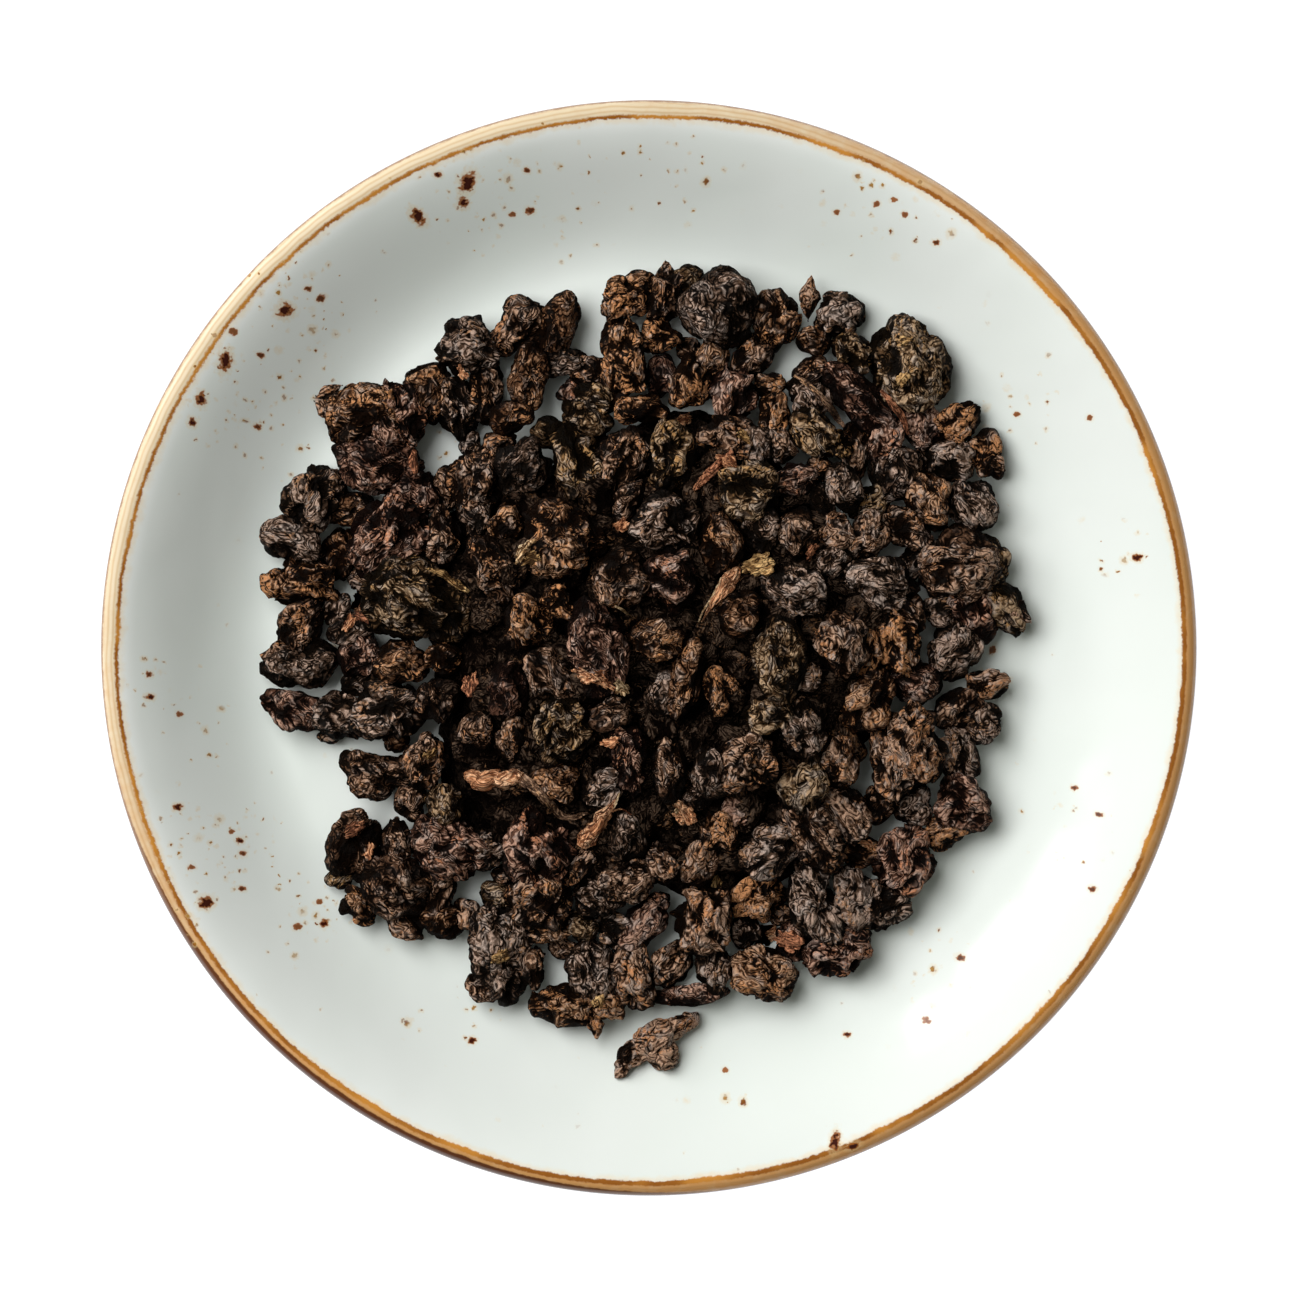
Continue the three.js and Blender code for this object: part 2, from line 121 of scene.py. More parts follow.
class Wire:
    # One output socket of a node tree. Sums and products of wires add Math nodes.
    def __init__(self, socket):
        self.socket = socket

    def maths(self, operation, *others, values=None):
        values = dict(enumerate(values or (self,) + others))
        return Graph(self.socket.id_data).node("ShaderNodeMath", {"operation": operation}, values)

    def __add__(self, other):
        return self.maths("ADD", other)

    __radd__ = __add__

    def __mul__(self, other):
        return self.maths("MULTIPLY", other)

    def __sub__(self, other):
        return self.maths("SUBTRACT", other)

    def __rsub__(self, other):
        return self.maths("SUBTRACT", values=(other, self))

    def __truediv__(self, other):
        return self.maths("DIVIDE", other)

    def __rtruediv__(self, other):
        return self.maths("DIVIDE", values=(other, self))

    def clip(self):
        return self.maths("MINIMUM", 1.0).maths("MAXIMUM", 0.0)

    def output(self, name):
        # Another output of the same node.
        return Wire(self.socket.node.outputs[name])

    def vectorPart(self, axis):
        return Graph(self.socket.id_data).node("ShaderNodeSeparateXYZ", None, {0: self}, axis)


class Graph:
    # A node tree to which nodes are added.
    def __init__(self, tree):
        self.tree = tree

    def node(self, kind, settings=None, sockets=None, output=0):
        # Settings are set first, because they may change which sockets there are.
        made = self.tree.nodes.new(kind)
        for name, value in (settings or {}).items():
            setattr(made, name, value)
        for name, value in (sockets or {}).items():
            if isinstance(value, Wire):
                self.tree.links.new(value.socket, made.inputs[name])
            else:
                made.inputs[name].default_value = value
        return Wire(made.outputs[output]) if len(made.outputs) else made

    def attribute(self, name, output="Fac"):
        return self.node("ShaderNodeAttribute", {"attribute_name": name}, output=output)

    def between(self, value, low, high, outLow=0.0, outHigh=1.0):
        # A smooth step from outLow to outHigh.
        settings = {"interpolation_type": "SMOOTHSTEP"}
        return self.node("ShaderNodeMapRange", settings, {0: value, 1: low, 2: high, 3: outLow, 4: outHigh})

    def mix(self, factor, first, second):
        # Mixes two colours.
        first, second = (c if isinstance(c, Wire) else tuple(c) + (1.0,) for c in (first, second))
        settings = {"data_type": "RGBA", "clamp_factor": True}
        return self.node("ShaderNodeMix", settings, {0: factor, 6: first, 7: second}, 2)

    def vector(self, operation, first, second=None, output=0):
        sockets = {0: first}
        if second is not None:
            sockets[3 if operation == "SCALE" else 1] = second
        return self.node("ShaderNodeVectorMath", {"operation": operation}, sockets, output)

    def noise(self, place, scale, detail, roughness, output=0):
        sockets = {"Vector": place, "Scale": scale, "Detail": detail, "Roughness": roughness}
        return self.node("ShaderNodeTexNoise", None, sockets, output)

    def shake(self, place, scale, detail, roughness):
        # A vector of noise, each part about 0.
        return self.vector("SUBTRACT", self.noise(place, scale, detail, roughness, 1), (0.5, 0.5, 0.5))

    def moved(self, place, way, reach):
        return self.vector("ADD", place, self.vector("SCALE", way, reach))

    def cells(self, place, scale, randomness=1.0):
        sockets = {"Vector": place, "Scale": scale, "Randomness": randomness}
        return self.node("ShaderNodeTexVoronoi", None, sockets)


def newMaterial(name):
    material = bpy.data.materials.new(name)
    material.use_nodes = True
    material.node_tree.nodes.clear()
    return material, Graph(material.node_tree)


def finishMaterial(graph, sockets):
    # One Principled surface, its sockets fed by fixed numbers or by wires.
    shader = graph.node("ShaderNodeBsdfPrincipled", None, sockets)
    graph.node("ShaderNodeOutputMaterial", None, {0: shader})


dish = {
    "radius": 72.5,
    "floorTop": 6.0,
    "recessTop": 2.4,
    "wallStart": 50.0,
    "wallEnd": 74.5,
    "wallRise": 13.0,
    "wallThick": 3.3,
    "beadRadius": 1.7,
    "beadStart": -0.9,  # where the round of the rim starts and ends, in radians above its outermost point
    "beadEnd": 2.02,
    "footOuter": 43.6,
    "footInner": 39.4,
    "footEdge": 0.5,
    "fillet": ((0.5, 0.0), (0.12, 0.35)),  # points of the round at the foot's root, away from it and down
    "recessRings": (0, 13, 26, 36),
    "floorRings": (40, 32, 22, 11, 0),
    "segments": 360,
    "counts": {"edge": 5, "under": 21, "bead": 19, "top": 33},  # points of each part of the profile
}


def dishTop(radius):
    rise = smooth((radius - dish["wallStart"]) / (dish["wallEnd"] - dish["wallStart"]))
    return dish["floorTop"] + dish["wallRise"] * rise


bead = dish["beadRadius"]
joinRadius = dish["radius"] - bead + bead * math.cos(dish["beadEnd"])
beadHeight = float(dishTop(joinRadius)) - bead * math.sin(dish["beadEnd"])


def dishProfile():
    # From the middle of the underside, round the foot ring and the rim, back to the middle of the floor.
    edge, recess, counts = dish["footEdge"], dish["recessTop"], dish["counts"]
    points = [(r, recess) for r in dish["recessRings"]]
    for radius, side in ((dish["footInner"], -1), (dish["footOuter"], 1)):
        middle = radius - side * edge
        arc = [(middle + side * edge * math.cos(a), edge - edge * math.sin(a))
               for a in np.linspace(0, math.pi / 2, counts["edge"])]
        fillet = [(radius + side * away, recess - drop) for away, drop in dish["fillet"]]
        points += fillet + arc if side < 0 else arc[::-1] + fillet[::-1]
    # the wall gets thinner than the floor as it rises
    thinner = 1 + (dish["floorTop"] - recess - dish["wallThick"]) / dish["wallRise"]
    for radius in np.linspace(dish["wallStart"] - 1, dish["radius"] - bead * 0.7, counts["under"]):
        points.append((radius, recess + (float(dishTop(radius)) - dish["floorTop"]) * thinner))
    for angle in np.linspace(dish["beadStart"], dish["beadEnd"], counts["bead"])[:-1]:
        points.append((dish["radius"] - bead + bead * math.cos(angle), beadHeight + bead * math.sin(angle)))
    points += [(r, float(dishTop(r))) for r in np.linspace(joinRadius, dish["wallStart"], counts["top"])]
    points += [(r, dish["floorTop"]) for r in dish["floorRings"]]
    return np.array(points)


def turnedMesh(name, profile, segments):
    # Turns a profile that starts and ends on the axis.
    angles = np.arange(segments) * 2 * math.pi / segments
    radius, height = profile[1:-1, :1], profile[1:-1, 1:]
    rings = np.stack([radius * np.cos(angles), radius * np.sin(angles), np.repeat(height, segments, 1)], 2)
    ends = [[0, 0, profile[0, 1]], [0, 0, profile[-1, 1]]]
    points = np.concatenate([rings.reshape(-1, 3), ends])
    return triangleMesh(name, points, tubeFaces(len(profile) - 2, segments))


glazeColours = {
    "thin": (0.785, 0.82, 0.78),
    "thick": (0.735, 0.79, 0.735),
    # painted highlight on the glaze below the rim, on the lit side
    "paintedRimHighlight": (0.93, 0.945, 0.91),
    "stain": (0.82, 0.6, 0.3),
    "darkRust": (0.3, 0.1, 0.012),
    "rust": (0.56, 0.235, 0.036),
    "darkCream": (0.6, 0.305, 0.105),
    "cream": (0.69, 0.575, 0.39),
    "ringLine": (0.5, 0.27, 0.1),
    "outside": (0.22, 0.095, 0.03),
    "darkOutside": (0.105, 0.03, 0.01),
    "spotHalo": (0.74, 0.55, 0.27),
    "fleck": (0.38, 0.195, 0.035),
    "darkFleck": (0.2, 0.06, 0.01),
    "spotRing": (0.31, 0.092, 0.014),
    "spotCore": (0.045, 0.007, 0.003),
    "bareClay": (0.46, 0.36, 0.26),
    "darkClay": (0.3, 0.21, 0.14),
}

# Iron spots in the glaze that stand out, each [x, y, length, width, turn, strength].
ironSpots = [
    [-24, 61.7, 2.6, 1.6, 62, 1], [-24.6, 59.2, 1.4, 1.2, 60, 0.9], [-30.6, 57.2, 2.2, 1.3, -50, 1],
    [-27.9, 62.6, 1, 0.7, 0, 0.8], [-48.2, 44.7, 2, 1.6, 20, 1], [-56, 37.9, 1.5, 2.6, -12, 1],
    [-59.2, 32.9, 1.2, 1.7, 0, 0.9], [-60.4, 29.8, 1, 1.1, 0, 0.8], [-43.5, 46.4, 1.2, 0.8, 30, 0.7],
    [-45.2, 47.6, 0.9, 0.7, 0, 0.7], [-51.5, 38.8, 0.9, 0.8, 0, 0.7], [-54.9, 41.8, 1, 0.9, 0, 0.6],
    [-16.2, 63.3, 0.9, 0.7, 0, 0.7], [-15.8, 58.3, 1.1, 0.8, 0, 0.7], [-18.2, 57.8, 0.8, 0.6, 0, 0.6],
    [-52.2, 29.5, 0.9, 0.8, 0, 0.7], [-66.2, -3.5, 0.9, 0.7, 0, 0.7], [-66, -6.5, 0.9, 0.8, 0, 0.8],
    [-62.4, -8.8, 0.8, 0.7, 0, 0.6], [-62.4, -21.1, 1.1, 0.9, 0, 0.9], [-58.6, -33.7, 1.7, 1.5, 0, 1],
    [-43.5, -36.9, 1.1, 1, 0, 0.8], [-46.9, -37.2, 1, 0.8, 0, 0.6], [-54.5, -25.7, 1, 0.8, 0, 0.8],
    [-55.6, -24.5, 0.7, 0.6, 0, 0.6], [-54.1, -27.4, 0.9, 0.8, 0, 0.7], [-54.1, -32, 0.9, 0.7, 0, 0.7],
    [-60.5, -29.1, 0.8, 0.7, 0, 0.6], [-44.1, -34, 0.8, 0.6, 0, 0.6], [38.1, 53.7, 1, 0.7, 0, 0.7],
    [33.9, 57.4, 0.8, 0.7, 0, 0.6], [32.4, 59.3, 0.8, 0.6, 0, 0.5], [30.2, 58.8, 0.8, 0.7, 0, 0.6],
    [25, 57.9, 0.8, 0.6, 0, 0.6], [64.8, 12, 1.2, 0.9, 0, 1], [58.5, 30.5, 0.8, 0.7, 0, 0.6],
    [49.2, 31.2, 0.8, 0.6, 0, 0.6], [46.2, -0.2, 1.3, 0.8, 60, 0.6], [48.3, -4.3, 0.8, 0.7, 0, 0.6],
    [58.7, -31.9, 0.9, 0.8, 0, 0.7], [59.8, -22.1, 0.9, 0.6, 0, 0.7], [56.8, -18.7, 0.8, 0.7, 0, 0.7],
    [41.7, -41.4, 1.2, 0.8, 0, 0.7], [37, -49.6, 1.1, 0.8, 0, 0.6], [26.5, -51.7, 0.9, 0.7, 0, 0.8],
    [37.4, -30.6, 0.8, 0.6, 0, 0.6], [10.2, -56.5, 0.8, 0.7, 0, 0.5], [-23.6, -52.5, 1, 0.8, 0, 0.8],
    [24.6, -65.3, 2.3, 1.2, 80, 1], [26.9, -65.8, 1.7, 0.9, 20, 0.9],
]

# Where the fine spots crowd, each [x, y, reach, share of the cells].
spotPatches = [
    [-22, 60, 9, 0.75], [-10, 62, 10, 0.45], [3, 62, 8, 0.25], [-47, 45, 8, 0.85], [-52, 36, 9, 0.85],
    [-58, 31, 6, 0.7], [-50, 27, 6, 0.5], [-65, -4, 6, 0.6], [-60, -12, 7, 0.4], [-57, -27, 9, 0.75],
    [-45, -36, 7, 0.6], [-60, -34, 6, 0.4], [-27, -50, 8, 0.25], [33, 58, 9, 0.5], [24, 57, 6, 0.35],
    [62, 13, 6, 0.35], [50, 32, 8, 0.25], [46, -2, 5, 0.4], [58, -25, 9, 0.3], [40, -42, 8, 0.3],
    [10, -57, 8, 0.2], [-27, 26, 4, 0.4], [-40, -3, 4, 0.4],
]

spotRule = {
    "farthest": 4,  # a place farther from every spot's middle has none
    "lowest": 4,  # nor has a place under this height
    "nowhere": 9,  # unit circle place for both
    "fewest": 0.035,  # share of the cells with a fine spot away from the patches
}


def rimColours(graph, flat, x, y, z, radius, colour):
    # A rusty line where the glaze breaks, cream with fine rings over the roll, darkest outside at the lower
    # left.
    # Painted light on the side towards the upper left: a painted highlight on the glaze below the rim, paler
    # cream and a wider band.
    paint = glazeColours
    wobble, bleed, fray = (graph.noise(flat, scale, 2.0, roughness) - 0.5
                           for scale, roughness in ((0.11, 0.6), (0.55, 0.6), (1.6, 0.7)))
    # painted light: how far round the rim faces the light at the upper left
    paintedLitSide = graph.between(x * -0.7 + y * 0.72, -14.0, 68.0)
    lowness = graph.between(x * -0.55 + y * -0.84, 52.0, 70.0)
    overRim = graph.between(z, 14.6, 15.6)
    bandWidth = 2.0 + paintedLitSide * 0.45 + wobble * 0.7
    across = (dish["radius"] - radius) / bandWidth + bleed * 0.14
    # painted highlight: the glaze below the rim is painted paler on the lit side
    paintedRimHighlight = graph.between(radius, 67.6, 70.2) * paintedLitSide
    colour = graph.mix(paintedRimHighlight * 0.75, colour, paint["paintedRimHighlight"])
    stain = 1 - graph.between(across + bleed * 0.5, 1.0, 1.5)
    colour = graph.mix(stain * overRim * 0.45, colour, paint["stain"])
    band = (1 - graph.between(across + fray * 0.28, 1.0, 1.12)) * overRim
    rust = graph.mix(graph.between(wobble, -0.1, 0.12), paint["darkRust"], paint["rust"])
    # painted light: the cream is paler on the lit side
    cream = graph.mix(paintedLitSide * 1.1 + bleed * 0.9, paint["darkCream"], paint["cream"])
    rings = ((radius + wobble * 0.9) * 9.6).maths("SINE") * 0.5 + 0.5
    cream = graph.mix(rings * rings * 0.42, cream, paint["ringLine"])
    inStart = paintedLitSide * 0.12 + 0.68
    inLine = graph.between(across + fray * 0.26, inStart, inStart + 0.14)
    outReach = lowness * 0.42 + paintedLitSide * 0.03 + 0.09
    outLine = 1 - graph.between(across + fray * 0.1, outReach - 0.05, outReach + 0.07)
    outColour = graph.mix(lowness, paint["outside"], paint["darkOutside"])
    edgeColour = graph.mix(outLine * (lowness * 0.1 + 0.88), graph.mix(inLine, cream, rust), outColour)
    return graph.mix(band, colour, edgeColour), band, bleed


def spotColours(graph, place, flat, z, bleed, colour):
    # Dark maroon cores in a rusty ring with a faint tan halo, shaken so that none is round, and fine spots.
    paint = glazeColours
    spot = graph.attribute("spotPlace", "Vector")
    strength = spot.vectorPart("Z")
    shake = graph.shake(place, 1.5, 1.0, 0.65)
    spot = graph.moved(graph.vector("MULTIPLY", spot, (1, 1, 0)), shake, 1.7)
    reach = graph.vector("LENGTH", spot, output=1)
    core = (1 - graph.between(reach, 0.55, 0.85)) * graph.between(strength, 0.45, 0.8)
    ring = (1 - graph.between(reach, 0.9, 1.25)) * graph.between(strength, 0.1, 0.5)
    halo = (1 - graph.between(reach, 1.0, 2.1)) * strength

    # fine spots: some of many small cells, where the crowd attribute is high
    crowd = graph.attribute("spotCrowd")
    shaken = graph.moved(flat, shake, 0.7)
    fleck = 0.0
    for scale, size in ((0.4, 0.125), (0.85, 0.15)):
        distance = graph.cells(shaken, scale)
        red, green, blue = (graph.node("ShaderNodeSeparateColor", None, {0: distance.output("Color")}, part)
                            for part in range(3))
        chosen = graph.between(crowd - red, 0.0, 0.06)
        grown = distance / (green * 0.9 + 0.55)
        dot = (1 - graph.between(grown, size * 0.75, size * 1.2)) * chosen * (blue * 0.4 + 0.6)
        fleck = dot.maths("MAXIMUM", fleck)
        halo = halo.maths("MAXIMUM", (1 - graph.between(grown, size, size * 2.4)) * chosen * 0.8)
    core, ring, halo, fleck = (part * graph.between(z, 3.0, 4.0) for part in (core, ring, halo, fleck))
    fleckColour = graph.mix(graph.between(bleed, -0.1, 0.1), paint["fleck"], paint["darkFleck"])
    colour = graph.mix(halo * 0.45, colour, paint["spotHalo"])
    colour = graph.mix(fleck, colour, fleckColour)
    colour = graph.mix(ring * 0.95, colour, paint["spotRing"])
    return graph.mix(core, colour, paint["spotCore"]), core


def glazeMaterial():
    material, graph = newMaterial("celadonGlaze")
    place = graph.vector("SCALE", graph.node("ShaderNodeTexCoord", output="Object"), 1 / millimetre)
    flat = graph.vector("MULTIPLY", place, (1, 1, 0))
    x, y, z = (place.vectorPart(axis) for axis in "XYZ")
    radius = (x * x + y * y).maths("SQRT")

    # greener where the glaze lies thick at the foot of the wall, faint clouding
    thick = graph.between(radius, 43.0, 50.0) * (1 - graph.between(radius, 52.0, 66.0))
    cloud = graph.between(graph.noise(place, 0.045, 1.0, 0.55), 0.35, 0.7)
    colour = graph.mix((thick * 0.35 + cloud * 0.4).clip(), glazeColours["thin"], glazeColours["thick"])
    colour, band, bleed = rimColours(graph, flat, x, y, z, radius, colour)
    colour, core = spotColours(graph, place, flat, z, bleed, colour)

    # unglazed clay on the foot ring
    bare = 1 - graph.between(z, 0.15, 0.5)
    grit = graph.noise(place, 3.0, 2.0, 0.7)
    colour = graph.mix(bare, colour, graph.mix(grit, glazeColours["bareClay"], glazeColours["darkClay"]))
    roughness = graph.between(bare, 0.0, 1.0, 0.15, 0.8) + core * 0.1 + band * 0.06
    waves = graph.noise(place, 0.11, 1.0, 0.5) * 0.55
    bump = graph.node("ShaderNodeBump", None, {"Strength": 0.35, "Distance": 0.001, "Height": waves})
    finishMaterial(graph, {"IOR": 1.5, "Coat Weight": 0.2, "Coat Roughness": 0.09,
                           "Base Color": colour, "Roughness": roughness, "Normal": bump})
    return material


def markSpots(mesh):
    # Each corner gets its place in the nearest iron spot's own unit circle, and the spot's strength.
    spots = np.array(ironSpots)
    points = readPoints(mesh)
    corners = np.empty(len(mesh.loops), np.int32)
    mesh.loops.foreach_get("vertex_index", corners)
    corners = points[corners].reshape(-1, 3, 3)
    middle = corners.mean(1)
    gap = np.hypot(middle[:, None, 0] - spots[None, :, 0], middle[:, None, 1] - spots[None, :, 1])
    chosen = spots[(gap - spots[None, :, 2] * 0.7).argmin(1)][:, None]
    angle = np.radians(chosen[..., 4])
    away = corners[..., :2] - chosen[..., :2]
    u = (away[..., 0] * np.cos(angle) + away[..., 1] * np.sin(angle)) / (chosen[..., 2] / 2)
    v = (away[..., 1] * np.cos(angle) - away[..., 0] * np.sin(angle)) / (chosen[..., 3] / 2)
    bare = ((gap.min(1) > spotRule["farthest"]) | (middle[:, 2] < spotRule["lowest"]))[:, None]
    nowhere = spotRule["nowhere"]
    own = [np.where(bare, nowhere, u), np.where(bare, nowhere, v), np.where(bare, 0, chosen[..., 5] + u * 0)]
    addAttribute(mesh, "spotPlace", np.stack(own, 2).reshape(-1, 3), "CORNER")
    crowd = np.full(len(points), spotRule["fewest"])
    for x, y, reach, share in spotPatches:
        crowd = np.maximum(crowd, share * smooth(1.25 - np.hypot(points[:, 0] - x, points[:, 1] - y) / reach))
    addAttribute(mesh, "spotCrowd", crowd)


dishPiece = addPiece("glazed_dish", turnedMesh("glazedDish", dishProfile(), dish["segments"]))
markSpots(dishPiece.data)
dishPiece.data.materials.append(glazeMaterial())
print("dish made,", len(dishPiece.data.polygons), "faces")


rolledLeaf = {
    "gap": 0.3,
    "moundRise": 7.5,
    "moundInner": 10.0,
    "moundOuter": 44.0,
    "liftStep": 1.6,
    "heightRatio": 0.9,
    "usualWidth": 6.5,
    "fewestLobes": 5,
    "lobeSpread": 4,
    "lobeOut": (0.32, 0.13),  # least share of its reach that a lobe stands off the middle, and its spread
    "lobeReach": (0.86, 0.14),
    "lobeSway": (0.3, 0.7),  # up and down, and round, in radians
    "edge": 0.315,
    "topLean": 0.34,
    "fullness": 1.03,
    "foldShare": (0.4, 1.1),  # least and most depth of the folds, 1 on a pellet of the usual width
    "randomStart": 9000,
}

# Each [x, y, length, width, turn in degrees, lift above its neighbours]: the outer ones first,
# in the order that gives each its seed.
outerPellets = [
    [-38.3, 31, 10.5, 9, 0, 0.6], [-33.2, 30.9, 10.2, 7.6, 90, 0.8], [-29.3, 33.2, 6.6, 4.8, 85, 0.4],
    [-25.6, 32, 9, 5.6, 100, 0], [-24.3, 40, 8.2, 8, 0, 0.4], [-21.8, 34.4, 9, 4.8, 90, 0.2],
    [-17, 42.6, 8.2, 6.4, 60, 0], [-12.2, 43.6, 8.6, 5.8, 75, 0.4], [-11.6, 38.4, 7, 4, 0, 0],
    [-7.6, 37, 6, 4, 0, -0.2], [-3.4, 46.8, 6.2, 5.6, 0, 0.2], [1.8, 47, 6.8, 6, 80, 0.3],
    [9.3, 45, 10.6, 10.2, 120, 0.9], [16.8, 43.8, 7.4, 7, 60, 0.1], [22, 41, 4.6, 4.2, 0, 0.5],
    [25.4, 44.6, 7, 5.6, 0, 0.1], [27, 39.4, 6, 5.2, 120, 0.3], [34.8, 38, 12.6, 10.4, 105, 0.7],
    [41.6, 30.2, 6.8, 5, 30, 0.4], [40.2, 25.4, 6.6, 5.4, 0, 0.5], [45, 25.8, 6.6, 4.4, 100, 0],
    [43.4, 19.1, 6.8, 6.4, 120, 0.2], [41.2, 10.9, 10.4, 10, 0, 0.9], [45.4, 11.9, 8, 5, 125, 0.2],
    [47.4, 6, 8.4, 5, 130, 0], [43.4, 4.8, 8.4, 6.2, 110, 0.4], [40.8, -0.4, 7.8, 7, 60, 0.5],
    [45, -5, 5.4, 5, 0, 0], [41.2, -8, 6.8, 5.4, 30, 0.4], [45, -10, 5, 4.8, 30, 0],
    [41.4, -13.9, 7.8, 5.2, 110, 0.2], [41.9, -20.9, 7.6, 6.8, 150, 0.3], [39.6, -24.3, 6, 4.6, 20, 0],
    [34.2, -27.9, 9.4, 7.2, 75, 0.5], [31.4, -34.2, 7, 6.6, 30, 0.2], [27.4, -33.8, 8.6, 5.6, 95, 0.4],
    [25.2, -40.8, 9.8, 6.4, 10, 0.3], [15.2, -43.5, 9, 6.6, 165, 0.3], [8.6, -43.2, 6.8, 5.2, 90, 0.4],
    [5.6, -46.5, 10.2, 3.2, 8, 0], [3.2, -42.2, 7, 5.2, 60, -0.3], [-2.3, -43.8, 9.6, 5.8, 110, 0.5],
    [-7.6, -43, 7.4, 6.6, 90, 0.4], [-6.2, -47.6, 5.4, 4.6, 0, 0.3], [-11, -47.8, 10.8, 5.6, 165, 0.2],
    [-15.4, -42.8, 5.8, 4.2, 70, 0.2], [-20.2, -40.4, 14, 7.8, 95, 0.5], [-24.6, -35.6, 4.4, 4.2, 90, -0.2],
    [-27.4, -36.6, 6.6, 5, 10, 0.3], [-32.4, -37, 5.6, 4.4, 150, 0], [-39, -34.6, 5.8, 4.8, 140, 0],
    [-39.4, -26.3, 9.8, 7.2, 80, 0.3], [-36.8, -16.7, 9.2, 6.2, 160, 0.4], [-41, -9.1, 8, 6.2, 150, 0.3],
    [-47.4, -8.5, 9, 6, 155, 0.2], [-46.8, -1.7, 10, 6.8, 10, 0.2], [-46.4, 3.2, 7.4, 5.6, 60, 0.1],
    [-46.2, 8.8, 10.2, 7, 170, 0.3], [-47.4, 14.6, 8.4, 6.4, 160, 0.3], [-44.2, 20.3, 8.6, 7.6, 60, 0.1],
    [-41.2, 12.4, 7.4, 5.4, 90, -0.5], [-39.8, 19, 6, 5, 0, -0.3], [-28, -32.6, 7.2, 4.6, 75, 0.4],
    [1.9, 41.6, 5.8, 4.6, 0, 0.4], [13.4, 38.4, 7, 4.8, 50, 0.1], [36.6, 30, 8, 5, 120, 0.4],
]

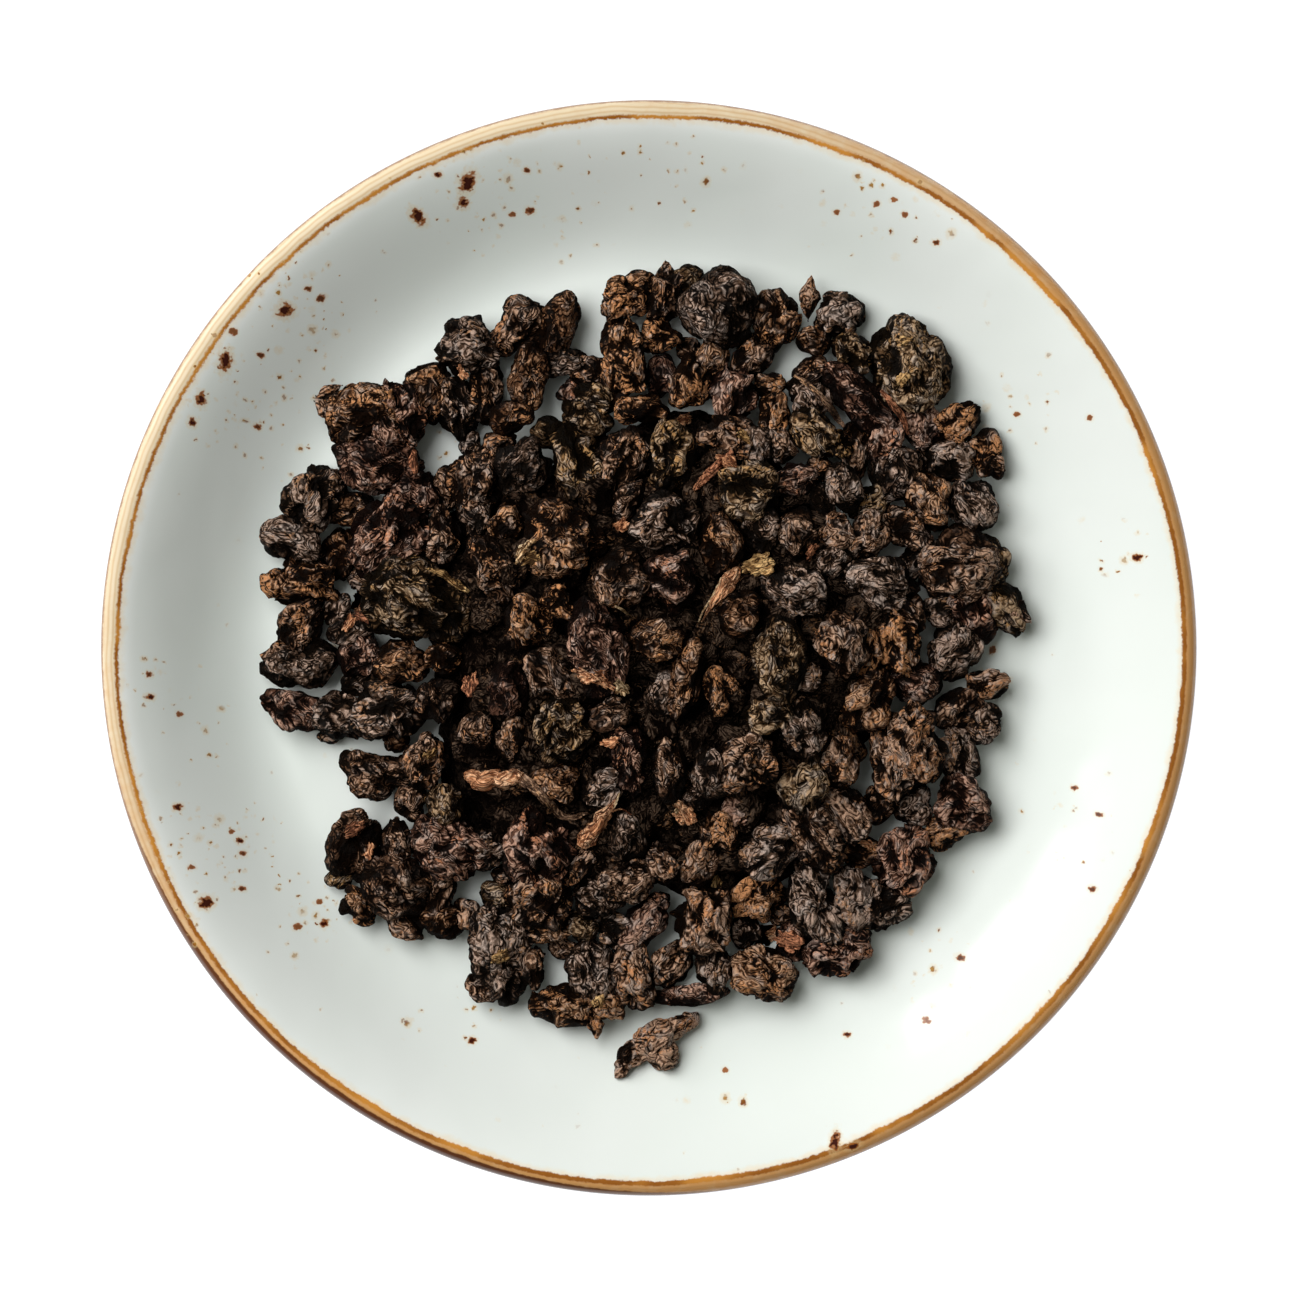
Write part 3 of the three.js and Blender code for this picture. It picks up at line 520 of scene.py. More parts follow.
innerPellets = [
    [-36, 24.6, 11.6, 7.2, 165, 0.7], [-31.4, 20.6, 7, 6.6, 90, 0.8], [-34.6, 15, 12.6, 9.6, 40, 1.1],
    [-16, 35.8, 10, 5.4, 80, 0.8], [-18.2, 30.6, 6.4, 4.4, 20, 1.2], [-13.2, 29, 5.4, 4.6, 0, 0.2],
    [-34.2, -31.6, 10.4, 8.6, 150, 0.9], [-27.6, 14.6, 8.2, 5.2, 80, 0.7],
    [-30.9, 5.8, 14.8, 11.2, 160, 1.6], [-23, 17.2, 6.4, 5, 90, 0], [-18.8, 16.2, 6, 5, 45, 0.4],
    [-20.8, 10.4, 9.8, 5.8, 120, 0.9], [-16, 3.4, 7.6, 6.2, 110, 1.5], [-23.2, 22.6, 8.2, 7, 100, 0.7],
    [-16.8, 23.6, 8.4, 7.6, 60, 1.2], [-11.2, 14.5, 10.6, 10, 0, 1.6], [-9.4, 25.2, 10, 6, 100, 1],
    [-3.2, 38.2, 10.6, 6.6, 95, 0.9], [-6.8, 33, 6.4, 4, 160, 0.4], [5.6, 35.8, 7.6, 5.8, 90, 0.7],
    [11.2, 33.6, 8.6, 6.2, 80, 0.6], [16.2, 35.2, 4.6, 3.6, 0, 0.4], [16.8, 31.2, 6, 4.4, 80, 0.9],
    [-1.4, 32.2, 8.4, 4.6, 160, 0.6], [-3.4, 24.8, 8.8, 6.2, 80, 0.8], [2.9, 24.9, 10.8, 6.2, 95, 1.5],
    [-2.8, 19.6, 6.4, 3.8, 60, 0.6], [2.1, 16.4, 8.6, 7.4, 20, 1.5], [10.4, 28.2, 8.2, 5.6, 170, 1],
    [14.6, 26.4, 5.6, 4.4, 80, 1], [17.8, 26.9, 4.6, 4, 120, 0.9], [13, 21, 7.8, 7.6, 0, 1.7],
    [19.4, 22.4, 5.8, 5.2, 0, 1.3], [21.4, 33.2, 7, 5.6, 120, 0.5], [22.6, 28.5, 9.8, 5.4, 135, 1.2],
    [28.4, 33.2, 13.2, 6, 138, 1.3], [31.6, 27.4, 6.6, 4.6, 60, 1], [32.6, 23, 7.2, 6, 90, 0.8],
    [26.2, 21.5, 7, 5, 95, 1.6], [37.4, 19.8, 8, 6.6, 120, 0.8], [22.8, 19.2, 5.6, 3.2, 110, 1],
    [19.4, 15.2, 6.6, 5.2, 90, 1.4], [9.6, 14.2, 8.2, 5.6, 100, 1.5], [14.6, 15.2, 6.2, 4.4, 90, 1.1],
    [24.8, 15.6, 5.2, 4.4, 0, 0.9], [29.4, 15, 7, 5.4, 60, 0.9], [34.6, 15.8, 7.4, 4.8, 150, 0.6],
    [30.8, 8.6, 9.6, 7, 170, 1.4], [24.6, 11.6, 5.6, 4.4, 45, 0.8], [19.4, 7.6, 9.4, 6.4, 160, 1.5],
    [2.6, 9.2, 7.8, 7.4, 0, 2], [-3.8, 8.9, 8.4, 7.4, 80, 1.9], [33.6, 4.6, 7.4, 5.4, 150, 1.1],
    [38.6, 5, 4.6, 4.2, 0, 0.4], [11.6, 4.6, 6.6, 6.2, 0, 1.5], [17, -1.6, 13.2, 6.6, 95, 1.8],
    [15.8, -9, 6, 5.2, 0, 1.5], [20.5, -3.8, 4.6, 4, 20, 1.4], [20.3, -10.3, 7.4, 6.6, 100, 1.5],
    [25.8, 0.5, 9.2, 7.2, 100, 1.6], [29.4, -0.8, 6.8, 3.6, 80, 1.3], [33.6, 0.2, 8.2, 6.2, 100, 1.1],
    [29.4, -7, 8.6, 6.6, 60, 1.6], [35.6, -5, 7.4, 6, 0, 0.8], [34.6, -13.7, 12.2, 9.6, 100, 1.4],
    [13.2, -15.1, 8.8, 8.2, 0, 1.9], [8.2, -16.4, 7.2, 5.8, 100, 1.5], [2.5, -16.2, 8.8, 4.6, 95, 1.6],
    [-2.6, -14.8, 10.2, 5.6, 100, 1.6], [-6, -18.2, 6.4, 5.4, 20, 1.2], [-11.6, -10.8, 8.2, 7.4, 60, 1.7],
    [-12.4, -17.7, 6.4, 5.4, 0, 1], [-6.6, 0.4, 13.2, 7.8, 105, 2], [-12.2, 5.6, 5.4, 4.6, 0, 1.2],
    [-13.2, -3.8, 8.2, 5.2, 120, 0.9], [-18.4, -5.4, 8.2, 5.8, 80, 1.2], [1.4, 0.9, 6.8, 6, 20, 2.1],
    [1.6, -6.4, 6.2, 4.6, 90, 1.5], [5.2, -4, 10.6, 4.6, 75, 2], [9.4, -6, 6.4, 4.6, 90, 1.3],
    [-4.8, -9, 5.8, 4.8, 20, 1.3], [-38.2, -1.1, 6.6, 5.8, 80, 0.5], [-32.8, -1.7, 8.4, 6, 10, 0.9],
    [-27.6, -1.3, 5.2, 5, 0, 1.1], [-28.4, -7, 6, 5.6, 90, 1.2], [-34.8, -8, 9, 8.2, 0, 1],
    [-23, -10.9, 6, 5, 90, 1.1], [-17.6, -12.4, 6, 5.2, 80, 0.9], [-30.2, -15, 7.8, 6.6, 70, 0.9],
    [-27.2, -21, 5.6, 5.2, 90, 1.1], [-31.9, -20.2, 5.2, 4.4, 60, 0.4], [-33.7, -26.6, 8.2, 4.2, 85, 0.4],
    [-27, -26.4, 10.8, 8, 150, 1.1], [-21.8, -26.8, 7.4, 6, 0, 0.4], [-14.6, -26.4, 10.6, 8.8, 100, 1.5],
    [-14.2, -32.8, 9, 8, 45, 1.1], [-9, -28.6, 6.6, 3.8, 60, 0.8], [-2.8, -25.2, 6.2, 5.4, 90, 1.4],
    [-3, -30.9, 7.6, 6.2, 30, 1], [-6.8, -33.5, 6.8, 5.2, 160, 0.7], [-13.8, -37.2, 8.2, 4.8, 10, 0.4],
    [-9, -37.2, 4.2, 4.2, 0, 0.2], [-0.4, -36.6, 8.8, 4.8, 60, 0.4], [-4.2, -38, 5.6, 4.6, 0, 0],
    [2, -28.6, 5.6, 5.2, 120, 0.9], [6.6, -28.6, 6.4, 4.4, 80, 0.7], [9.2, -24.3, 6, 5, 100, 1.3],
    [7.4, -36.2, 10, 8, 95, 1.1], [14.2, -33.6, 8.4, 6.4, 20, -0.3], [15.6, -27, 8.6, 6.4, 20, 1.4],
    [22, -34, 12.6, 7.4, 105, 1], [21.6, -24.8, 11.6, 7.2, 130, 1.4], [20.6, -18.8, 7.6, 6.2, 60, 1.5],
    [25.2, -15.2, 8.4, 5.4, 90, 1.1], [26.2, -22, 9, 5.8, 130, 0.9], [30.9, -20.8, 5.6, 5.2, 60, 0.2],
    [28.4, -27.4, 4.6, 4.2, 0, 0.3], [6.2, -19.8, 5, 4.2, 0, 0.9], [12, -22, 5.4, 4.2, 0, 0.6],
    [-8.4, 30.4, 7.6, 5.4, 150, 0.2], [-20.2, 26.6, 6.2, 4.8, 20, 0.2], [-29.8, 36, 6.4, 4.6, 10, 0.1],
    [8.6, 38.6, 5.8, 5, 60, 0.1], [-39.4, 2.2, 6, 5.2, 40, 0.1], [21.8, 36.8, 5, 4.4, 30, 0],
    [4.8, 49.2, 5.4, 4, 0, 0], [19.3, -39.6, 5.4, 4.8, 30, 0], [-21.8, -45, 5.4, 4.6, 10, 0],
    [-20.4, -33.2, 4.6, 4, 0, 0], [-1.4, 48.6, 4.8, 3.6, 0, 0], [-17.2, 45.2, 4.8, 4, 0, 0],
]

# Small pellets that lie low in the gaps between the others, each [x, y, length, width, turn].
gapPellets = [
    [27.7, 26.5, 8, 4, 90], [35.7, -21.2, 6, 5.2, 45], [1.8, 36.3, 6, 4, 85], [29.5, 19.6, 6, 4.6, 20],
    [12.8, -38.2, 4.8, 4, 90], [-39.1, -4.8, 4.6, 3.6, 10], [-27.3, 21.4, 6, 4, 80],
    [34.8, 11.3, 5, 3.6, 70], [-41.5, 4.9, 4.8, 3.8, 80], [-11.6, -40, 4, 3.2, 0], [23, 23.8, 4.2, 3.8, 30],
    [-33.7, -12.8, 4, 3.4, 0], [-10.7, 34.2, 3.6, 3, 80], [-41.1, -30.6, 4, 3.4, 40],
    [-23.5, 27.1, 3.6, 3.2, 40], [-19.4, -30.1, 3.6, 3, 0], [-38.5, 8.9, 3.6, 3.2, 0],
    [36.1, 24.8, 3.4, 3, 90], [5.5, 40.1, 3.4, 3, 0], [17.8, -35.8, 3.2, 2.8, 0], [-43, -11.5, 3, 2.6, 0],
]


def standHeight(radius):
    # Height of the mound on which the top pellets stand.
    rise = smooth((rolledLeaf["moundOuter"] - radius) / (rolledLeaf["moundOuter"] - rolledLeaf["moundInner"]))
    return dishTop(radius) + rolledLeaf["moundRise"] * rise


def makeLobes(seed):
    # Spheres round the middle of a ball of radius about 1, set in a spiral, as middles and radii.
    random = makeRandom(seed)
    goldenAngle = 2.39996
    (least, spread), (leastReach, reachSpread) = rolledLeaf["lobeOut"], rolledLeaf["lobeReach"]
    sway, swing = rolledLeaf["lobeSway"]
    count = rolledLeaf["fewestLobes"] + math.floor(random() * rolledLeaf["lobeSpread"])
    spin = random() * 2 * math.pi
    middles, radii = [], []
    for i in range(count):
        up = 1 - (2 * (i + 0.5)) / count + (random() - 0.5) * sway
        height = min(max(up, -1), 1)
        angle = spin + i * goldenAngle + (random() - 0.5) * swing
        flat = math.sqrt(1 - height * height)
        reach = leastReach + reachSpread * random()
        offset = reach * (least + spread * random())
        middles.append([offset * flat * math.cos(angle), offset * flat * math.sin(angle), offset * height])
        radii.append(reach - offset)
    return np.array(middles), np.array(radii)


def lobeReach(middles, radii, directions):
    along = directions @ middles.T
    inside = radii ** 2 - (middles ** 2).sum(1) + along ** 2
    return (along + np.sqrt(np.maximum(inside, 0))).max(1)


ballCache = {}


def unitBall(count):
    # An icosahedron with each side split count times, pushed out to a ball; more of it faces up.
    if count in ballCache:
        return ballCache[count]
    golden = (1 + 5 ** 0.5) / 2
    plane = [(-1, golden, 0), (1, golden, 0), (-1, -golden, 0), (1, -golden, 0)]
    corners = np.array([np.roll(corner, turn) for turn in range(3) for corner in plane])
    sides = [
        (0, 11, 5), (0, 5, 1), (0, 1, 7), (0, 7, 10), (0, 10, 11), (1, 5, 9), (5, 11, 4), (11, 10, 2),
        (10, 7, 6), (7, 1, 8), (3, 9, 4), (3, 4, 2), (3, 2, 6), (3, 6, 8), (3, 8, 9), (4, 9, 5), (2, 4, 11),
        (6, 2, 10), (8, 6, 7), (9, 8, 1)]
    grid = [(i, j) for i in range(count + 1) for j in range(count + 1 - i)]
    index = {pair: n for n, pair in enumerate(grid)}
    local = [(index[i, j], index[i + 1, j], index[i, j + 1]) for i, j in grid if i + j < count]
    local += [(index[i + 1, j], index[i + 1, j + 1], index[i, j + 1]) for i, j in grid if i + j < count - 1]
    right, down = np.hsplit(np.array(grid) / count, 2)
    points, faces = [], []
    for a, b, c in sides:
        faces.append(np.array(local) + len(grid) * len(points))
        points.append(corners[a] + (corners[b] - corners[a]) * right + (corners[c] - corners[a]) * down)
    points = np.concatenate(points)
    points /= np.linalg.norm(points, axis=1, keepdims=True)
    # points that neighbouring sides share become one
    places = np.round(points * 1e5).astype(np.int64)
    _, first, back = np.unique(places, axis=0, return_index=True, return_inverse=True)
    faces = back.reshape(-1)[np.concatenate(faces)]
    points = points[first] + np.array([0, 0, rolledLeaf["topLean"]])
    points /= np.linalg.norm(points, axis=1, keepdims=True)
    ballCache[count] = (points, faces)
    return ballCache[count]


def lobedPellet(seed, length, width, edge=rolledLeaf["edge"]):
    # Points in the pellet's own millimetres and faces, its long way along X.
    surface = math.pi * (length + width) / 2 * width * 1.05
    triangle = 0.433 * edge * edge
    split = max(6, round(math.sqrt(surface / triangle / 20)))  # unsplit, the ball has 20 triangles
    directions, faces = unitBall(split)
    middles, radii = makeLobes(seed)
    points = directions * lobeReach(middles, radii, directions)[:, None]
    high, low = (middles + radii[:, None]).max(0), (radii[:, None] - middles).max(0)
    size = np.array([length, width, width * rolledLeaf["heightRatio"]]) * rolledLeaf["fullness"]
    return (points - (high - low) / 2) * size / (high + low), faces


def turnAbout(points, degrees):
    angle = math.radians(degrees)
    turn = [[math.cos(angle), math.sin(angle), 0], [-math.sin(angle), math.cos(angle), 0], [0, 0, 1]]
    return points @ np.array(turn)


def ownPlace(points, seed):
    # A pellet's own coordinates, stretched along its length and set apart from every other pellet's.
    apart = np.array([seed * 13.7 % 97, seed * 29.3 % 89, seed * 7.9 % 83])
    return points * np.array([0.72, 1.0, 1.0]) + apart


class Gathering:
    # Collects many small closed shapes into one mesh with their own places, tones and fold depths.
    def __init__(self):
        self.points, self.faces, self.total = [], [], 0
        self.values = {"leafPlace": [], "leafTone": [], "leafSize": [], "leafHigh": []}

    def add(self, points, faces, own, tone, size, high=1.0):
        # Size says how deep the folds go; high is 1 on a pellet's top and -1 underneath, and the leaf finish
        # paints shade by it, darker below.
        count = len(points)
        self.faces.append(faces + self.total)
        self.points.append(points)
        self.values["leafPlace"].append(own)
        for name, value in (("leafTone", tone), ("leafSize", size), ("leafHigh", high)):
            self.values[name].append(np.full(count, float(value)) if np.isscalar(value) else value)
        self.total += count

    def lay(self, shape, seed, place, turn, tone, size, paintShadeBelow=True):
        # Adds a shape turned about the upright and moved to its place; with paintShadeBelow, its heights give
        # painted shade towards its underside.
        local, faces = shape
        high = local[:, 2] / local[:, 2].max() if paintShadeBelow else 1.0
        self.add(turnAbout(local, turn) + np.array(place), faces, ownPlace(local, seed), tone, size, high)

    def mesh(self, name):
        made = triangleMesh(name, np.concatenate(self.points), np.concatenate(self.faces))
        for attribute, parts in self.values.items():
            addAttribute(made, attribute, np.concatenate(parts))
        return made


# Colour kinds of rolled leaf: colours from the bottom of a fold, near black as painted shade, to its crest,
# pale partly as a painted highlight, and the glow of warm places.
# Then the places of pellets whose kind is known; the rest get one by its share.
leafKinds = {
    "umber": {"share": 0.3, "valley": (0.0044, 0.0021, 0.0011), "face": (0.087, 0.0428, 0.0232),
        "ridge": (0.47, 0.29, 0.192), "glow": (0.5, 0.22, 0.09), "glowShare": 0.5},
    "ashen": {"share": 0.24, "valley": (0.004, 0.0024, 0.0015), "face": (0.075, 0.042, 0.0258),
        "ridge": (0.432, 0.3, 0.229), "glow": (0.44, 0.222, 0.106), "glowShare": 0.42},
    "olive": {"share": 0.12, "valley": (0.0042, 0.0024, 0.001), "face": (0.083, 0.0438, 0.0196),
        "ridge": (0.436, 0.292, 0.174), "glow": (0.45, 0.24, 0.088), "glowShare": 0.46},
    "plum": {"share": 0.14, "valley": (0.0048, 0.0021, 0.0014), "face": (0.091, 0.041, 0.0252),
        "ridge": (0.468, 0.276, 0.194), "glow": (0.48, 0.194, 0.092), "glowShare": 0.45},
    "rust": {"share": 0.2, "valley": (0.005, 0.0021, 0.0009), "face": (0.103, 0.045, 0.0205),
        "ridge": (0.505, 0.291, 0.17), "glow": (0.55, 0.245, 0.098), "glowShare": 0.6},
}
knownKinds = {
    "plum": [(-36, 24.6), (-31.4, 20.6), (-34.6, 15), (43.4, 4.8), (35.6, -5), (-2.6, -14.8),
        (28.4, 33.2), (31.6, 27.4)],
    "rust": [(5.6, 35.8), (-16, 35.8), (-18.2, 30.6), (16.8, 43.8), (1.4, 0.9), (-27.4, -36.6),
        (16.8, 31.2), (-13.8, -37.2), (-16, 3.4)],
    "umber": [(33.6, 4.6), (34.6, -13.7), (41.2, -8)],
    "ashen": [(-24.3, 40), (-47.4, 14.6), (43.4, 19.1), (22, -34), (15.6, -27), (26.2, 21.5),
        (31.4, -34.2), (27.4, -33.8), (9.3, 45)],
    "olive": [(2.9, 24.9), (22.6, 28.5), (20.6, -18.8), (13, 21)],
}


def kindOf(x, y, random):
    for kind, places in knownKinds.items():
        if (x, y) in places:
            return kind
    pick = random()
    for kind, look in leafKinds.items():
        pick -= look["share"]
        if pick < 0:
            return kind
    return "umber"


# the first seed of each sort of shape
seeds = {"pellets": 1, "gaps": 300, "loose": 500, "ends": 700, "stalks": 60, "scraps": 90}
heaps = {kind: Gathering() for kind in leafKinds}
heightRatio = rolledLeaf["heightRatio"]
shallow, deep = rolledLeaf["foldShare"]
for seed, (x, y, length, width, turn, lift) in enumerate(outerPellets + innerPellets, seeds["pellets"]):
    random = makeRandom(rolledLeaf["randomStart"] + seed)
    top = heightRatio * (width + rolledLeaf["usualWidth"]) / 2 + lift * rolledLeaf["liftStep"]
    middle = standHeight(math.hypot(x, y)) + top - heightRatio * width / 2
    heap = heaps[kindOf(x, y, random)]
    folding = min(deep, max(shallow, width / rolledLeaf["usualWidth"]))
    heap.lay(lobedPellet(seed, length, width), seed, [x, y, middle], turn, random(), folding)
for seed, (x, y, length, width, turn) in enumerate(gapPellets, seeds["gaps"]):
    random = makeRandom(rolledLeaf["randomStart"] + seed)
    middle = standHeight(math.hypot(x, y)) + rolledLeaf["gap"] + width / 2
    heap = heaps[kindOf(x, y, random)]
    heap.lay(lobedPellet(seed, length, width), seed, [x, y, middle], turn, random(), size=0.5)
print("pellets laid,", {kind: sum(len(f) for f in heap.faces) for kind, heap in heaps.items()})


# Folds pressed into the rolled leaves by a node tree, in millimetres.
folds = {
    "Warp Size": 4.6,
    "Warp Depth": 2.4,
    "Lump Size": 3.4,
    "Lump Depth": 0.4,
    "Fold Size": 4.4,
    "Fold Depth": 0.76,
    "Pleat Size": 2.1,
    "Pleat Depth": 0.34,
    "Crease Size": 3.6,
    "Crease Depth": 0.5,
    "Grain Size": 0.9,
    "Grain Depth": 0.1,
}


def foldTree():
    tree = bpy.data.node_groups.new("leafFolds", "GeometryNodeTree")
    sockets = tree.interface
    sockets.new_socket("Leaves", in_out="INPUT", socket_type="NodeSocketGeometry")
    for name, value in folds.items():
        sockets.new_socket(name, in_out="INPUT", socket_type="NodeSocketFloat").default_value = value
    sockets.new_socket("Finish", in_out="INPUT", socket_type="NodeSocketMaterial")
    sockets.new_socket("Leaves", in_out="OUTPUT", socket_type="NodeSocketGeometry")
    graph = Graph(tree)
    given = graph.node("NodeGroupInput")
    lumpDepth, foldDepth, pleatDepth, creaseDepth, grainDepth = (
        given.output(part + " Depth") for part in ("Lump", "Fold", "Pleat", "Crease", "Grain"))
    place, size, tone = (
        graph.node("GeometryNodeInputNamedAttribute", {"data_type": kind}, {"Name": name})
        for name, kind in (("leafPlace", "FLOAT_VECTOR"), ("leafSize", "FLOAT"), ("leafTone", "FLOAT")))

    # the pattern is bent first, so that its lines curl as folded leaf does
    bent = graph.moved(place, graph.shake(place, 0.33, 1.0, 0.5), 3.6)

    def fromMiddle(name, detail, output=0):
        # How far a soft noise is from its middle, which it crosses along curling lines.
        noise = graph.noise(bent, 1 / given.output(name), detail, 0.5, output)
        return ((noise.vectorPart("Y") if output else noise) - 0.5).maths("ABSOLUTE")

    lump = graph.cells(bent, 1 / given.output("Lump Size"), 0.9)
    rounded = 0.42 - lump * lump * 1.25
    fold = 1 - (fromMiddle("Fold Size", 0.6) / 0.17).clip()
    pleat = 1 - (fromMiddle("Pleat Size", 0.4) / 0.15).clip()
    crease = 1 - graph.between(fromMiddle("Crease Size", 1.0, 1), 0.0, 0.05)
    grain = graph.noise(bent, 1 / given.output("Grain Size"), 2.0, 0.6) - 0.5
    # some pellets are tight and smooth, others loosely folded
    loose = tone * 0.9 + 0.35
    height = (rounded * lumpDepth * 1.6 + (fold - 0.55) * foldDepth * loose + (pleat - 0.5) * pleatDepth
              + grain * grainDepth * 2 - crease * creaseDepth * loose)
    shown = (height / (lumpDepth + foldDepth + pleatDepth) + 0.55).clip()

    raised = graph.vector("SCALE", graph.node("GeometryNodeInputNormal"), height)
    warp = graph.shake(place, 1 / given.output("Warp Size"), 1.0, 0.5)
    pushed = graph.moved(raised, warp, given.output("Warp Depth"))
    offset = graph.vector("SCALE", pushed, size * millimetre)
    moved = graph.node("GeometryNodeSetPosition", None,
                       {"Geometry": given.output("Leaves"), "Offset": offset})
    kept = graph.node("GeometryNodeStoreNamedAttribute", {"data_type": "FLOAT", "domain": "POINT"},
                      {"Geometry": moved, "Name": "leafFold", "Value": shown})
    real = graph.node("GeometryNodeRealizeInstances", None, {0: kept})
    painted = graph.node("GeometryNodeSetMaterial", None,
                         {"Geometry": real, "Material": given.output("Finish")})
    graph.node("NodeGroupOutput", None, {0: painted})
    return tree


tree = foldTree()


def foldedPiece(name, gathering, material, node="tea_heap"):
    # Runs the folds on gathered leaves, and returns a plain object above the dish and inside its node's box.
    mesh = gathering.mesh(name + "_rough")
    rough = addPiece(name + "_rough", mesh)
    modifier = rough.modifiers.new("folds", "NODES")
    modifier.node_group = tree
    finish = next(item for item in tree.interface.items_tree if item.name == "Finish")
    modifier[finish.identifier] = material
    view = bpy.context.evaluated_depsgraph_get()
    made = bpy.data.meshes.new_from_object(rough.evaluated_get(view), preserve_all_data_layers=True,
                                           depsgraph=view)
    bpy.data.objects.remove(rough)
    bpy.data.meshes.remove(mesh)
    made.name = name
    points = readPoints(made)
    lowest, highest = (np.array(corner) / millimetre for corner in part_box(node))
    floor = dishTop(np.hypot(points[:, 0], points[:, 1])) + rolledLeaf["gap"] * 0.6
    points[:, 2] = np.maximum(points[:, 2], floor)
    writePoints(made, np.clip(points, lowest + 0.01, highest - 0.01))
    print("folded", name, len(made.polygons), "faces")
    return addPiece(name, made)


# What all leaf colours share; a kind may have its own depth, gloss or painted sheen.
leafLook = {
    "depth": 0.93,  # how much darker the bottom of a fold is painted, painted shade
    "gloss": 0.09,
    "paintedSheen": 0.46,  # painted sheen: how far patches are turned to grey of the same lightness, as a gloss would show
    "paintedSheenDark": (0.006, 0.0054, 0.005),
    "paintedSheenLight": (0.36, 0.318, 0.29),
    "wrinkles": 68.0,  # about 0.7 mm apart
    "paintedLightWay": (0.87, -0.5),  # painted light: the leaves are painted paler along this way, between two places in metres
    "paintedLightSpan": (-0.03, 0.04),
    "paintedLightGain": (0.78, 1.42),
    "bump": 0.00045,
}


def leafMaterial(name, look):
    look = {**leafLook, **look}
    material, graph = newMaterial(name)
    place = graph.attribute("leafPlace", "Vector")
    fold, tone, high = (graph.attribute(attribute) for attribute in ("leafFold", "leafTone", "leafHigh"))
    where = graph.node("ShaderNodeTexCoord", output="Object")

    # fine wrinkles: contour lines of a bent noise, dark on what stands up and thin and bright on what lies
    # deep, all broken up by a finer grain
    swayed = graph.moved(place, graph.shake(place, 0.7, 1.0, 0.62), 1.7)
    raised = graph.between(fold, 0.18, 0.74)
    contours = graph.noise(swayed, 0.42, 1.0, 0.5) * look["wrinkles"]
    wave = (contours + fold * 2.0).maths("SINE") * 0.5 + 0.5
    thin = (tone - 0.5) * 0.4 + 0.42
    crest = graph.between(wave, thin - raised * 0.38, thin * 0.5 + 0.75 - raised * 0.3)
    speck = graph.noise(place, 2.4, 2.0, 0.7)
    broad = graph.noise(place, 0.17, 1.0, 0.5)
    local = graph.noise(place, 0.5, 2.0, 0.6)

    # cracks: a net of thin lines where either of two soft noises crosses its middle
    net = graph.noise(swayed, 0.86, 1.0, 0.4, 1)
    crack = 0.0
    for axis in "XY":
        away = (net.vectorPart(axis) - 0.5).maths("ABSOLUTE")
        crack = (1 - graph.between(away, 0.005, 0.056)).maths("MAXIMUM", crack)
    crack = crack * graph.between(local, 0.36, 0.6, 0.3, 1.0)

    # light: how pale the leaf is, from its folds, wrinkles, grain and place; painted shade at the bottoms of
    # folds and under each pellet, a painted highlight on wrinkle crests and painted light towards the lower
    # right
    grain = graph.between(speck, 0.38, 0.62)
    shine = (crest * 0.74 + 0.26) * (grain * 0.5 + 0.5) * (1 - crack * 0.94)
    strong = (local - 0.5) * 2.1 + (broad - 0.5) * 1.2 + (tone - 0.5) * 1.0 + 1.6
    # painted light: paler towards the lower right
    wayX, wayY = look["paintedLightWay"]
    across = where.vectorPart("X") * wayX + where.vectorPart("Y") * wayY
    strong = strong * graph.between(across, *look["paintedLightSpan"], *look["paintedLightGain"])
    # painted shade: darker towards each pellet's underside
    paintedUnderShade = graph.between(high, 0.0, 0.8, 0.1, 1.0)
    light = (raised * look["depth"] + (1 - look["depth"])) * shine * strong * paintedUnderShade
    light = (light * 1.13 - 0.035).clip()

    colour = graph.mix(graph.between(light, 0.05, 0.28), look["valley"], look["face"])
    colour = graph.mix(graph.between(light, 0.27, 0.92), colour, look["ridge"])
    # painted sheen: grey patches that follow the leaf's lightness
    paintedSheen = graph.mix(graph.between(light, 0.05, 0.92), look["paintedSheenDark"], look["paintedSheenLight"])
    colour = graph.mix(graph.between(net.vectorPart("Z"), 0.5, 0.62) * look["paintedSheen"], colour, paintedSheen)
    low = 0.915 - look["glowShare"] * 0.46
    warm = graph.between(local * 0.5 + broad * 0.3 + speck * 0.5 + (tone - 0.5) * 0.1, low, low + 0.1)
    colour = graph.mix(warm * graph.between(light, 0.08, 0.5) * 0.9, colour, look["glow"])
    roughness = 0.56 + (1 - raised) * 0.2 + speck * 0.14
    height = (crest * 0.65 + grain * 0.35) * (1 - crack * 0.85)
    bump = graph.node("ShaderNodeBump", None, {"Strength": 1.0, "Distance": look["bump"], "Height": height})
    finishMaterial(graph, {"IOR": 1.45, "Specular IOR Level": look["gloss"],
                           "Base Color": colour, "Roughness": roughness, "Normal": bump})
    return material


leafFinishes = {kind: leafMaterial(kind + "Leaf", look) for kind, look in leafKinds.items()}
teaPieces = [foldedPiece("rolled_leaves_" + kind, heap, leafFinishes[kind]) for kind, heap in heaps.items()]


underHeap = {
    "middle": (1.0, -1.5),
    "coreRadius": 34.0,
    "coreSplit": 40,
    "rimWaves": (0.07, 5, 1),  # share of the radius, how many there are, and where they start
    "band": 6.0,
    "lift": 3.2,
    "fillSpacing": 6.1,
    "fillShake": 2.6,
    "fillRadius": 30.0,
    "fillWidth": (5.0, 6.6),
    "fillLonger": (1.1, 0.4),
    "fillDrop": 1.4,
    "fillRise": 1.2,
    "fillEdge": 0.54,
    "fillSeed": 4100,
}


